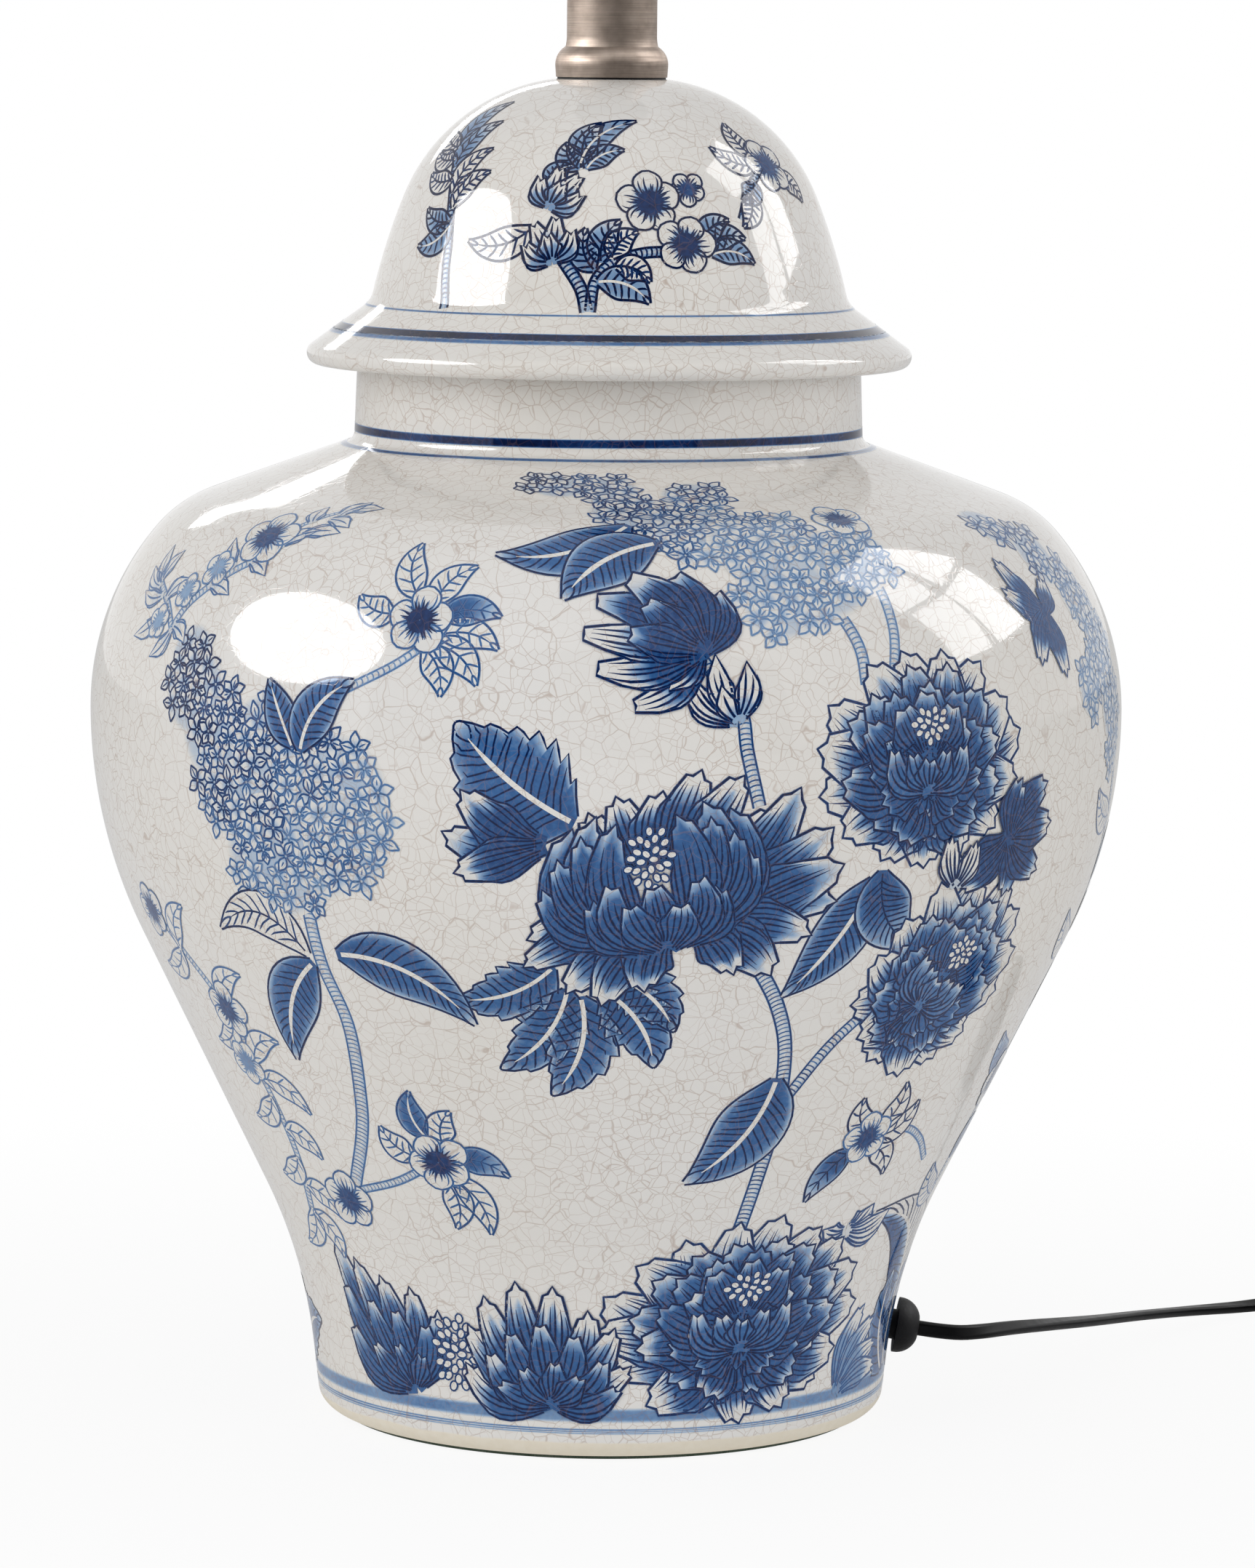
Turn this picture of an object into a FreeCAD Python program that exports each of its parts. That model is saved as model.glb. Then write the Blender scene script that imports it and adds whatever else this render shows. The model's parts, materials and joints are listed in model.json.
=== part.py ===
"""Ginger jar table lamp: a glazed jar and lid clamped on a threaded rod,
with a turned neck, a switched lampholder, and a mains lead wound up beside it.

Millimetres. +Z is up, the lamp stands on Z = 0, and Z is the axis of the jar.
The lead leaves the foot of the jar towards +X.
"""
import FreeCAD, Part
import math
import os

os.makedirs("parts", exist_ok=True)
V = FreeCAD.Vector

# ---------------------------------------------------------------- driving dimensions

# General fits
fixed_gap = 0.3             # between the moving pieces and what they pass through
thread_fit = 0.05           # radial play of a nut on the rod
seat_play = 0.6             # radial play of the rod in the ceramic and the washers

# Jar, outline from the foot upwards. Leans are degrees from the vertical.
felt_thickness = 1.0
felt_inset = 0.6            # the felt stays inside the flat of the foot
jar_wall = 6.0
foot_wall = 8.0
foot_radius = 77.6
foot_edge_radius = 5.5
foot_lean = 6.0
foot_run = 10.0
flare_radius = 144.0
flank_lean = 26.0
belly_radius = 140.0
lower_belly_radius = 138.0
upper_belly_radius = 75.0
upper_belly_lean = 40.0
shoulder_radius = 34.0
shoulder_lean = 70.0
neck_radius = 68.8
neck_fillet_radius = 3.0
neck_lean = 2.0
neck_run = 22.5
recess_height = 44.0
floor_thickness = 8.0

# Lid
gasket_thickness = 1.2
gasket_margin = 0.8
lid_wall = 5.5
lid_skirt_height = 5.5
lid_skirt_gap = 1.3
lid_rim_radius = 81.8
lid_rim_roll_radius = 3.0
lid_flare_lean = 54.0
lid_fillet_radius = 7.0
lid_waist_radius = 64.0
lid_waist_lean = 13.0
lid_side_radius = 174.0
lid_crown_lean = 22.0
lid_crown_radius = 51.0
lid_seat_radius = 15.6

# Rod and clamping hardware at the foot
rod_radius = 5.0
rod_bore_radius = 4.0
rod_tail = 1.5
cushion_washer_radius = 20.0
cushion_washer_thickness = 2.0
steel_washer_radius = 18.0
steel_washer_thickness = 1.5
lock_washer_radius = 8.5
lock_washer_thickness = 1.0
nut_across_flats = 14.0
foot_nut_thickness = 5.0

# Neck fitting
seat_washer_thickness = 0.5
seat_washer_inset = 0.35
collar_foot_radius = 15.0
collar_foot_lean = 4.0
collar_foot_run = 3.0
collar_bulge_radius = 5.5
collar_top_lean = 50.0
collar_top_radius = 12.6
spigot_height = 2.0
spigot_play = 0.15
tube_radius = 12.15
tube_wall = 1.0
tube_flare = 0.35
tube_flare_height = 3.0
tube_flare_hollow = 0.2     # share of the flare left at half its height
tube_height = 31.0
tube_top_round = 2.0
tube_top_thickness = 1.5
neck_nut_thickness = 3.5

# Lampholder
holder_radius = 20.5
holder_wall = 2.0
cap_boss_radius = 10.5
cap_boss_height = 5.0
cap_cone_height = 10.0
cap_rim_height = 7.0
cap_floor_thickness = 3.0
rod_into_cap = 8.0
grub_screw_radius = 1.5
shell_skirt_height = 18.0
shade_seat_radius = 19.5
flange_reach = 3.5          # the fixed flange stands out from the shade seat
flange_thickness = 2.0
shade_seat_height = 6.0
thread_pitch = 2.5
thread_depth = 0.7
thread_turns = 6
shell_lip_height = 2.0
shell_mouth_radius = 15.2
insulator_play = 0.15
insulator_wall = 2.2
insulator_disc_thickness = 8.0
socket_bore_radius = 13.5
socket_wall = 0.6
socket_depth = 20.0
contact_width = 5.0
contact_length = 12.0
contact_thickness = 0.6
contact_rise = 3.0
contact_well_radius = 9.0
contact_well_depth = 4.0
terminal_size = 5.0
terminal_height = 7.0
terminal_offset = 9.0
terminal_screw_radius = 1.5
terminal_screw_head_radius = 2.2
terminal_screw_head = 1.2

# Push bar switch
bar_radius = 2.4
bar_end_radius = 0.8
bar_overhang = 6.5
bar_height_in_skirt = 5.0
bridge_radius = 4.5
bridge_length = 4.0

# Shade ring
ring_flange_reach = 8.7
ring_flange_thickness = 1.6
ring_hub_wall = 2.7
ring_hub_height = 7.0
ring_lift = 7.0             # how far it stands above the fixed flange

# Grommet in the wall of the foot
grommet_height = 23.0
grommet_tilt = 9.0
grommet_head_radius = 7.6
grommet_head_height = 6.2
grommet_rim_height = 0.5    # straight edge under the dome
grommet_dome_width = 0.84   # the dome passes this share of its radius
grommet_dome_rise = 0.66    # at this share of its height
grommet_nose_radius = 3.3
grommet_neck_radius = 4.15
grommet_stand = 1.6         # the head stands this far off the wall
grommet_flange_radius = 6.2
grommet_flange_thickness = 2.2
grommet_hole_play = 0.15

# Mains lead
cord_radius = 2.1
cord_bore_play = 0.1
core_radius = 0.95
core_spacing = 2.1
arc_share = 0.45            # share of the shorter run that a bend in the lead takes up
coil_gap_between_turns = 0.55
coil_centre_x = 239.0
coil_centre_y = 125.5
coil_outer_radius = 30.0    # to the middle of the outermost turn
coil_full_turns = 10
coil_layers = 4
tie_thickness = 0.8
tie_width = 5.0
tie_corner_radius = 0.5     # inside
tie_play = 0.25
tie_angle = -125.0          # where on the coil the tie sits

# Plug: a flat two-pin body
plug_width = 35.0
plug_back_width = 24.0
plug_thickness = 13.7
plug_back_thickness = 10.5
plug_length = 34.0
plug_grip_start = 18.7      # from the face, where the body narrows
plug_round = 2.5
boot_length = 22.0
boot_front_radius = 4.6
boot_back_radius = 2.9
boot_ribs = 4
rib_width = 1.6
rib_depth = 0.5
pin_radius = 2.0
pin_length = 19.0
pin_tip_radius = 1.2
pin_spacing = 18.6
sleeve_length = 10.0
sleeve_wall = 0.25

# ------------------------------------------------------------------- small helpers


def export(name, shape):
    """Write one sub-part."""
    shape.exportStep("parts/" + name + ".step")
    print(name, "solids", len(shape.Solids), "valid", shape.isValid(), "volume", round(shape.Volume, 1))


def disc(radius, bottom, top, x=0.0, y=0.0):
    """Upright round bar."""
    return Part.makeCylinder(radius, top - bottom, V(x, y, bottom))


def ring(inner, outer, bottom, top):
    """Upright flat ring about the lamp's axis."""
    return disc(outer, bottom, top).cut(disc(inner, bottom - 1, top + 1))


def hex_nut(across_flats, hole, bottom, thickness):
    """Hexagon nut about the lamp's axis."""
    corner = across_flats / math.sqrt(3)
    corners = [V(corner * math.cos(math.radians(60 * i)), corner * math.sin(math.radians(60 * i)), bottom)
               for i in range(7)]
    prism = Part.Face(Part.makePolygon(corners)).extrude(V(0, 0, thickness))
    return prism.cut(disc(hole, bottom - 1, bottom + thickness + 1))


def revolve(edges):
    """Solid of revolution about Z from a closed loop of edges in the XZ half plane."""
    face = Part.Face(Part.Wire(edges))
    return face.revolve(V(0, 0, 0), V(0, 0, 1), 360)


def lines(points):
    """Straight edges through (radius, height) pairs, leaving out any of no length."""
    corners = [V(r, 0, z) for r, z in points]
    return [Part.makeLine(a, b) for a, b in zip(corners, corners[1:]) if (b - a).Length > 1e-6]


def turned(points):
    """Solid of revolution from a closed polygon of (radius, height) pairs."""
    return revolve(lines(points + points[:1]))


# Outlines are walked: a start point, a lean from the vertical, then steps. A positive
# lean opens outwards. ("run", length) goes straight. ("bend", radius, lean) turns to a
# new lean. inset moves the whole outline towards the axis, as a wall does.


def inward(lean):
    """Unit vector square to the walk, towards the axis."""
    angle = math.radians(lean)
    return V(-math.cos(angle), 0, math.sin(angle))


def forward(lean):
    """Unit vector along the walk."""
    angle = math.radians(lean)
    return V(math.sin(angle), 0, math.cos(angle))


def walk(start, lean, steps, inset=0.0):
    """Edges of a walked outline, with its end point and lean."""
    here = V(start[0], 0, start[1])
    edges = []
    for step in steps:
        if step[0] == "run":
            there = here + forward(lean) * step[1]
            edges.append(Part.makeLine(here + inward(lean) * inset, there + inward(lean) * inset))
        else:
            radius, new_lean = step[1], step[2]
            side = 1 if new_lean < lean else -1
            centre = here + inward(lean) * (side * radius)
            middle_lean = (lean + new_lean) / 2
            rim = side * radius - inset
            points = [centre - inward(angle) * rim for angle in (lean, middle_lean, new_lean)]
            edges.append(Part.Arc(*points).toShape())
            there = centre - inward(new_lean) * (side * radius)
            lean = new_lean
        here = there
    return edges, here, lean


def bend_reach(radius, lean_a, lean_b):
    """Outward travel of a bend from one lean to another."""
    return radius * abs(math.cos(math.radians(lean_a)) - math.cos(math.radians(lean_b)))


def first_point(edges):
    return edges[0].firstVertex(True).Point


def last_point(edges):
    return edges[-1].lastVertex(True).Point


# ------------------------------------------------------------------------- the jar

foot_bend = ("bend", foot_edge_radius, foot_lean)
foot_start = (foot_radius - bend_reach(foot_edge_radius, 90, foot_lean), felt_thickness)
foot_edge, foot_wall_start, _ = walk(foot_start, 90.0, [foot_bend])

flank_reach = (belly_radius - foot_radius - foot_run * math.sin(math.radians(foot_lean))
               - bend_reach(flare_radius, foot_lean, flank_lean)
               - bend_reach(lower_belly_radius, flank_lean, 0))
flank_run = flank_reach / math.sin(math.radians(flank_lean))
slope_reach = (belly_radius - bend_reach(upper_belly_radius, 0, upper_belly_lean)
               - bend_reach(shoulder_radius, upper_belly_lean, shoulder_lean)
               - neck_radius - bend_reach(neck_fillet_radius, shoulder_lean, neck_lean))
slope_run = slope_reach / math.sin(math.radians(shoulder_lean))

jar_steps = [
    ("run", foot_run),
    ("bend", flare_radius, flank_lean),
    ("run", flank_run),
    ("bend", lower_belly_radius, 0.0),
    ("bend", upper_belly_radius, -upper_belly_lean),
    ("bend", shoulder_radius, -shoulder_lean),
    ("run", slope_run),
    ("bend", neck_fillet_radius, -neck_lean),
    ("run", neck_run),
]
jar_outline, jar_top, _ = walk((foot_wall_start.x, foot_wall_start.z), foot_lean, jar_steps)
neck_top = jar_top.z
floor_bottom = recess_height
floor_top = floor_bottom + floor_thickness
rod_hole_radius = rod_radius + seat_play


def filled(edges, below, above):
    """Solid between an outline and the axis, closed flat at two heights."""
    start, end = first_point(edges), last_point(edges)
    over_the_top = [(end.x, end.z), (end.x, above), (0, above)]
    back_below = [(0, below), (start.x, below), (start.x, start.z)]
    return revolve(edges + lines(over_the_top + back_below))


def closed_to_axis(edges):
    """Solid between an outline and the axis."""
    start, end = first_point(edges), last_point(edges)
    return revolve(edges + lines([(end.x, end.z), (0, end.z), (0, start.z), (start.x, start.z)]))


def inset_jar(wall, below, above):
    """The jar's form shrunk by a wall, reaching past both ends."""
    edges, _, _ = walk((foot_wall_start.x, foot_wall_start.z), foot_lean, jar_steps, wall)
    return filled(edges, below, above)


outer_jar = closed_to_axis(foot_edge + jar_outline)
overshoot = 5.0
band = belly_radius * 2
past_top = neck_top + overshoot
foot_hollow = inset_jar(foot_wall, -overshoot, past_top).common(disc(band, -overshoot, floor_bottom))
jar_hollow = inset_jar(jar_wall, -overshoot, past_top).common(disc(band, floor_top, past_top))


def wall_radius_at(height):
    """Outer radius of the jar at a height, found by cutting its form level."""
    level = outer_jar.slice(V(0, 0, 1), height)
    return level[0].BoundBox.XMax


grommet_seat = V(wall_radius_at(grommet_height), 0, grommet_height)


def along_grommet(shape):
    """Place a shape made along +Z from the origin on the grommet's axis."""
    placed = shape.copy()
    placed.rotate(V(0, 0, 0), V(0, 1, 0), 90 + grommet_tilt)
    placed.translate(grommet_seat)
    return placed


grommet_axis = V(math.cos(math.radians(grommet_tilt)), 0, -math.sin(math.radians(grommet_tilt)))
grommet_reach = foot_wall + grommet_flange_thickness + fixed_gap
grommet_hole = along_grommet(disc(grommet_neck_radius + grommet_hole_play, -2 * foot_wall, foot_wall))
rod_hole = disc(rod_hole_radius, floor_bottom - 1, floor_top + 1)
jar_body = outer_jar.cut(foot_hollow).cut(jar_hollow).cut(rod_hole).cut(grommet_hole)
export("jar_body", jar_body)

# ---------------------------------------------------------------- foot of the lamp

felt_radius = foot_start[0] - felt_inset
export("base_felt", disc(felt_radius, 0, felt_thickness))

cushion_top = floor_bottom
cushion_bottom = cushion_top - cushion_washer_thickness
steel_bottom = cushion_bottom - steel_washer_thickness
lock_bottom = steel_bottom - lock_washer_thickness
foot_nut_bottom = lock_bottom - foot_nut_thickness
rod_bottom = foot_nut_bottom - rod_tail
export("cushion_washer", ring(rod_hole_radius, cushion_washer_radius, cushion_bottom, cushion_top))
export("steel_washer", ring(rod_hole_radius, steel_washer_radius, steel_bottom, cushion_bottom))
export("lock_washer", ring(rod_radius + thread_fit, lock_washer_radius, lock_bottom, steel_bottom))
export("foot_nut", hex_nut(nut_across_flats, rod_radius + thread_fit, foot_nut_bottom, foot_nut_thickness))

# --------------------------------------------------------------------- lid and gasket

lid_seat = neck_top + gasket_thickness
gasket_outer = jar_top.x - gasket_margin
gasket_inner = jar_top.x - jar_wall + gasket_margin
export("lid_gasket", ring(gasket_inner, gasket_outer, neck_top, lid_seat))

lid_bottom = lid_seat - lid_skirt_height
rim_start = (lid_rim_radius - lid_rim_roll_radius, lid_bottom)
flare_reach = (lid_rim_radius - bend_reach(lid_rim_roll_radius, 0, lid_flare_lean) - lid_waist_radius
               - bend_reach(lid_fillet_radius, lid_flare_lean, lid_waist_lean))
rim_steps = [
    ("bend", lid_rim_roll_radius, -lid_flare_lean),
    ("run", flare_reach / math.sin(math.radians(lid_flare_lean))),
    ("bend", lid_fillet_radius, -lid_waist_lean),
]
rim_outline, waist, _ = walk(rim_start, 90.0, rim_steps)
crown_start_radius = waist.x - bend_reach(lid_side_radius, lid_waist_lean, lid_crown_lean)
crown_end_cosine = (math.cos(math.radians(lid_crown_lean))
                    - (crown_start_radius - lid_seat_radius) / lid_crown_radius)
dome_steps = [
    ("bend", lid_side_radius, -lid_crown_lean),
    ("bend", lid_crown_radius, -math.degrees(math.acos(crown_end_cosine))),
]
dome_outline, lid_top_point, _ = walk((waist.x, waist.z), -lid_waist_lean, dome_steps)
dome_inside, _, _ = walk((waist.x, waist.z), -lid_waist_lean, dome_steps, lid_wall)
lid_top = lid_top_point.z
skirt_bore_radius = neck_radius + lid_skirt_gap
hollow_radius = first_point(dome_inside).x

lid_form = closed_to_axis(rim_outline + dome_outline)
lid_hollow = filled(dome_inside, lid_seat, last_point(dome_inside).z)
lid_skirt_bore = disc(skirt_bore_radius, lid_bottom - 1, lid_seat)
lid_rod_hole = disc(rod_hole_radius, lid_seat, lid_top + 1)
export("jar_lid", lid_form.cut(lid_hollow).cut(lid_skirt_bore).cut(lid_rod_hole))

# ------------------------------------------------------------------- collar and neck

collar_bottom = lid_top + seat_washer_thickness
seat_washer_radius = collar_foot_radius - seat_washer_inset
export("seat_washer", ring(rod_hole_radius, seat_washer_radius, lid_top, collar_bottom))

collar_slope_reach = (collar_foot_radius + collar_foot_run * math.sin(math.radians(collar_foot_lean))
                      - bend_reach(collar_bulge_radius, 0, collar_top_lean)
                      + bend_reach(collar_bulge_radius, 0, collar_foot_lean) - collar_top_radius)
collar_steps = [
    ("run", collar_foot_run),
    ("bend", collar_bulge_radius, -collar_top_lean),
    ("run", collar_slope_reach / math.sin(math.radians(collar_top_lean))),
]
collar_outline, collar_end, _ = walk((collar_foot_radius, collar_bottom), collar_foot_lean, collar_steps)
collar_top = collar_end.z
tube_bore_radius = tube_radius - tube_wall
spigot = disc(tube_bore_radius - spigot_play, collar_top, collar_top + spigot_height)
collar_bore = disc(rod_hole_radius, collar_bottom - 1, collar_top + spigot_height + 1)
export("collar", closed_to_axis(collar_outline).fuse(spigot).cut(collar_bore).removeSplitter())

tube_bottom = collar_top
tube_top = tube_bottom + tube_height
flare_mid = V(tube_radius + tube_flare * tube_flare_hollow, 0, tube_bottom + tube_flare_height / 2)
tube_outline = [
    Part.Arc(V(tube_radius + tube_flare, 0, tube_bottom), flare_mid,
             V(tube_radius, 0, tube_bottom + tube_flare_height)).toShape(),
    Part.makeLine(V(tube_radius, 0, tube_bottom + tube_flare_height),
                  V(tube_radius, 0, tube_top - tube_top_round)),
]
round_edge, _, _ = walk((tube_radius, tube_top - tube_top_round), 0.0, [("bend", tube_top_round, -90.0)])
tube_form = closed_to_axis(tube_outline + round_edge)
tube_hollow = disc(tube_bore_radius, tube_bottom - 1, tube_top - tube_top_thickness)
export("neck_tube", tube_form.cut(tube_hollow).cut(disc(rod_hole_radius, tube_bottom, tube_top + 1)))

neck_nut_top = tube_top + neck_nut_thickness
export("neck_nut", hex_nut(nut_across_flats, rod_radius + thread_fit, tube_top, neck_nut_thickness))

# ------------------------------------------------------------------------ lampholder

cap_bottom = neck_nut_top
cone_bottom = cap_bottom + cap_boss_height
cone_top = cone_bottom + cap_cone_height
cap_top = cone_top + cap_rim_height
cap_inner_radius = holder_radius - holder_wall
cap_form = turned([(0, cap_bottom), (cap_boss_radius, cap_bottom), (cap_boss_radius, cone_bottom),
                   (holder_radius, cone_top), (holder_radius, cap_top), (0, cap_top)])
cap_hollow = turned([(0, cone_bottom + cap_floor_thickness),
                     (cap_boss_radius - holder_wall, cone_bottom + cap_floor_thickness),
                     (cap_inner_radius, cone_top + holder_wall),
                     (cap_inner_radius, cap_top + 1), (0, cap_top + 1)])
grub_height = cap_bottom + cap_boss_height / 2
grub_hole_radius = grub_screw_radius + thread_fit
grub_hole = Part.makeCylinder(grub_hole_radius, cap_boss_radius, V(0, 0, grub_height), V(0, 1, 0))
cap_entry = disc(rod_radius + thread_fit, cap_bottom - 1, cone_top)
export("lampholder_cap", cap_form.cut(cap_hollow).cut(cap_entry).cut(grub_hole))

grub_start = rod_radius + thread_fit
grub_length = cap_boss_radius - grub_start
grub_screw = Part.makeCylinder(grub_screw_radius, grub_length, V(0, grub_start, grub_height), V(0, 1, 0))
export("entry_grub_screw", grub_screw)

rod_top = cap_bottom + rod_into_cap
export("threaded_rod", ring(rod_bore_radius, rod_radius, rod_bottom, rod_top))

shell_bottom = cap_top
flange_radius = shade_seat_radius + flange_reach
flange_bottom = shell_bottom + shell_skirt_height
flange_top = flange_bottom + flange_thickness
seat_top = flange_top + shade_seat_height
thread_top = seat_top + thread_turns * thread_pitch
shell_top = thread_top + shell_lip_height
bar_height = shell_bottom + bar_height_in_skirt
shoulder_height = flange_bottom


def thread_crests():
    """Outline of the shade ring's thread, as one V groove for each turn."""
    points = []
    for turn in range(thread_turns):
        groove = seat_top + turn * thread_pitch
        points.append((shade_seat_radius - thread_depth, groove + thread_pitch / 2))
        points.append((shade_seat_radius, groove + thread_pitch))
    return points


shell_outline = [(0, shell_bottom), (holder_radius, shell_bottom), (holder_radius, flange_bottom),
                 (flange_radius, flange_bottom), (flange_radius, flange_top),
                 (shade_seat_radius, flange_top), (shade_seat_radius, seat_top)]
shell_end = [(shade_seat_radius - thread_depth, shell_top), (0, shell_top)]
shell_form = turned(shell_outline + thread_crests() + shell_end)
shell_hollow = disc(cap_inner_radius, shell_bottom - 1, shoulder_height)
shell_mouth = disc(shell_mouth_radius, shoulder_height - 1, shell_top + 1)
bar_hole_start = V(-flange_radius, 0, bar_height)
bar_hole = Part.makeCylinder(bar_radius + fixed_gap, 2 * flange_radius, bar_hole_start, V(1, 0, 0))
export("lampholder_shell", shell_form.cut(shell_hollow).cut(shell_mouth).cut(bar_hole))

insulator_radius = cap_inner_radius - insulator_play
insulator_top = shoulder_height
disc_bottom = insulator_top - insulator_disc_thickness
insulator_form = disc(insulator_radius, shell_bottom, insulator_top)
insulator_hollow = disc(insulator_radius - insulator_wall, shell_bottom - 1, disc_bottom)
contact_seat = insulator_top - contact_well_depth
contact_well = disc(contact_well_radius, contact_seat, insulator_top + 1)
export("terminal_insulator", insulator_form.cut(insulator_hollow).cut(contact_well).cut(bar_hole))

socket_bottom = insulator_top
socket_top = socket_bottom + socket_depth
export("screw_socket", ring(socket_bore_radius, socket_bore_radius + socket_wall, socket_bottom, socket_top))


def spring_strip():
    """Centre contact: a flat foot with a tongue that springs up towards the bulb."""
    half, rise, thick = contact_length / 2, contact_rise, contact_thickness
    side = [(-half, 0), (half, 0), (half, thick), (-half + 2 * thick, thick),
            (half / 2, rise), (half / 2, rise + thick), (-half, thick)]
    corners = [V(x, -contact_width / 2, contact_seat + z) for x, z in side + side[:1]]
    return Part.Face(Part.makePolygon(corners)).extrude(V(0, contact_width, 0))


export("centre_contact", spring_strip())

terminal_blocks = []
terminal_screws = []
for side in (-1, 1):
    corner = V(-terminal_size / 2, side * terminal_offset - terminal_size / 2, disc_bottom - terminal_height)
    terminal_blocks.append(Part.makeBox(terminal_size, terminal_size, terminal_height, corner))
    face = V(0, side * (terminal_offset + terminal_size / 2), disc_bottom - terminal_height / 2)
    head = Part.makeCylinder(terminal_screw_head_radius, terminal_screw_head, face, V(0, side, 0))
    terminal_screws.append(head)
export("terminal_blocks", Part.makeCompound(terminal_blocks))
export("terminal_screws", Part.makeCompound(terminal_screws))

bar_length = 2 * (holder_radius + bar_overhang)
push_bar = Part.makeCylinder(bar_radius, bar_length, V(-bar_length / 2, 0, bar_height), V(1, 0, 0))
bridge_start = V(-bridge_length / 2, 0, bar_height)
bridge = Part.makeCylinder(bridge_radius, bridge_length, bridge_start, V(1, 0, 0))
bridge_bore = Part.makeCylinder(bar_radius, bridge_length, bridge_start, V(1, 0, 0))
bar_ends = [edge for edge in push_bar.Edges if edge.Length < 3 * math.pi * bar_radius and edge.Closed]
export("push_bar", push_bar.makeFillet(bar_end_radius, bar_ends))
export("switch_bridge", bridge.cut(bridge_bore))

ring_bottom = flange_top + ring_lift
ring_bore_radius = shade_seat_radius + fixed_gap
ring_flange_radius = ring_bore_radius + ring_flange_reach
ring_hub_radius = ring_bore_radius + ring_hub_wall
shade_ring = turned([(ring_bore_radius, ring_bottom), (ring_flange_radius, ring_bottom),
                     (ring_flange_radius, ring_bottom + ring_flange_thickness),
                     (ring_hub_radius, ring_bottom + ring_flange_thickness),
                     (ring_hub_radius, ring_bottom + ring_hub_height),
                     (ring_bore_radius, ring_bottom + ring_hub_height)])
export("shade_ring", shade_ring)

# --------------------------------------------------------------------------- grommet

head_base = grommet_stand
head_top = grommet_stand + grommet_head_height
dome_base = head_base + grommet_rim_height
dome_middle = V(grommet_head_radius * grommet_dome_width, 0,
                head_base + grommet_head_height * grommet_dome_rise)
head_arc = Part.Arc(V(grommet_head_radius, 0, dome_base), dome_middle,
                    V(grommet_nose_radius, 0, head_top)).toShape()
head_edges = lines([(0, head_base), (grommet_head_radius, head_base), (grommet_head_radius, dome_base)])
head_edges += [head_arc] + lines([(grommet_nose_radius, head_top), (0, head_top), (0, head_base)])
flange_outside = -foot_wall - fixed_gap
grommet_form = revolve(head_edges)
grommet_form = grommet_form.fuse(disc(grommet_neck_radius, flange_outside, head_base))
grommet_form = grommet_form.fuse(disc(grommet_flange_radius, -grommet_reach, flange_outside))
grommet_bore = disc(cord_radius + cord_bore_play, -grommet_reach - 1, head_top + 1)
export("cord_grommet", along_grommet(grommet_form.cut(grommet_bore).removeSplitter()))

# ------------------------------------------------------------------------- the lead


def tube_along(points, radius, name):
    """Round tube on straight runs joined by tangent arcs, as large as the runs allow."""
    edges = []
    start = points[0]
    tightest = None
    for before, corner, after in zip(points, points[1:], points[2:]):
        run_in, run_out = corner - before, after - corner
        turn = run_in.getAngle(run_out)
        setback = arc_share * min(run_in.Length, run_out.Length)
        bend = setback / math.tan(turn / 2)
        tightest = bend if tightest is None else min(tightest, bend)
        enter = corner - run_in.normalize() * setback
        leave = corner + run_out.normalize() * setback
        inwards = (enter + leave) * 0.5 - corner
        offset = bend / math.cos(turn / 2) - bend
        middle = corner + inwards.normalize() * offset
        edges.append(Part.LineSegment(start, enter).toShape())
        edges.append(Part.Arc(enter, middle, leave).toShape())
        start = leave
        print(name, "turn", round(math.degrees(turn), 1), "radius", round(bend, 1))
    edges.append(Part.LineSegment(start, points[-1]).toShape())
    total = sum(edge.Length for edge in edges)
    tube = sweep(Part.Wire(edges), radius, points[0], points[1] - points[0])
    expected = math.pi * radius ** 2 * total
    print(name, "length", round(total, 1), "least radius", round(tightest, 1),
          "volume over section times length", round(tube.Volume / expected, 5))
    return tube


def sweep(path, radius, start, heading):
    """Solid pipe of round section along a path."""
    section = Part.Wire([Part.Circle(start, heading, radius).toShape()])
    shell = Part.BRepOffsetAPI.MakePipeShell(path)
    shell.add(section)
    shell.build()
    shell.makeSolid()
    return shell.shape()


grommet_tip = grommet_seat + grommet_axis * head_top
coil_base = tie_thickness + tie_play + cord_radius
coil_pitch = 2 * cord_radius + coil_gap_between_turns
layer_step = coil_pitch
coil_centre = V(coil_centre_x, coil_centre_y, coil_base)
arrival = 27.8              # heading of the lead where it runs into the coil, degrees from +X
arrival_way = V(math.cos(math.radians(arrival)), math.sin(math.radians(arrival)), 0)
coil_entry = coil_centre + V(-arrival_way.y, arrival_way.x, 0) * coil_outer_radius
coil_stub = 2 * cord_radius
lead_end = coil_entry - arrival_way * coil_stub
lead_first_run = 9.5
lead_last_run = 16.0

lead_points = [
    grommet_tip,
    grommet_tip + grommet_axis * lead_first_run,
    V(105.3, 5.0, 19.9),
    V(113.5, 16.5, 18.7),
    V(125.0, 35.0, 16.0),
    V(139.5, 59.5, 12.3),
    V(154.5, 88.0, 8.3),
    V(172.0, 114.5, 4.6),
    V(192.0, 133.5, 2.4),
    lead_end - arrival_way * lead_last_run,
    lead_end,
]
export("cord_lead", tube_along(lead_points, cord_radius, "cord_lead"))

# Inside the lamp the lead dips under the rod, then climbs through it.
inner_first_run = 35.7
wire_split_height = 3.0     # the two cores part this far above the rod
wire_end_run = 4.0
inner_points = [
    grommet_tip,
    grommet_tip - grommet_axis * inner_first_run,
    V(30.0, 0, 12.0),
    V(12.0, 0, 8.5),
    V(0, 0, 22.0),
    V(0, 0, rod_top + wire_split_height),
]
export("cord_inner", tube_along(inner_points, cord_radius, "cord_inner"))

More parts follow.
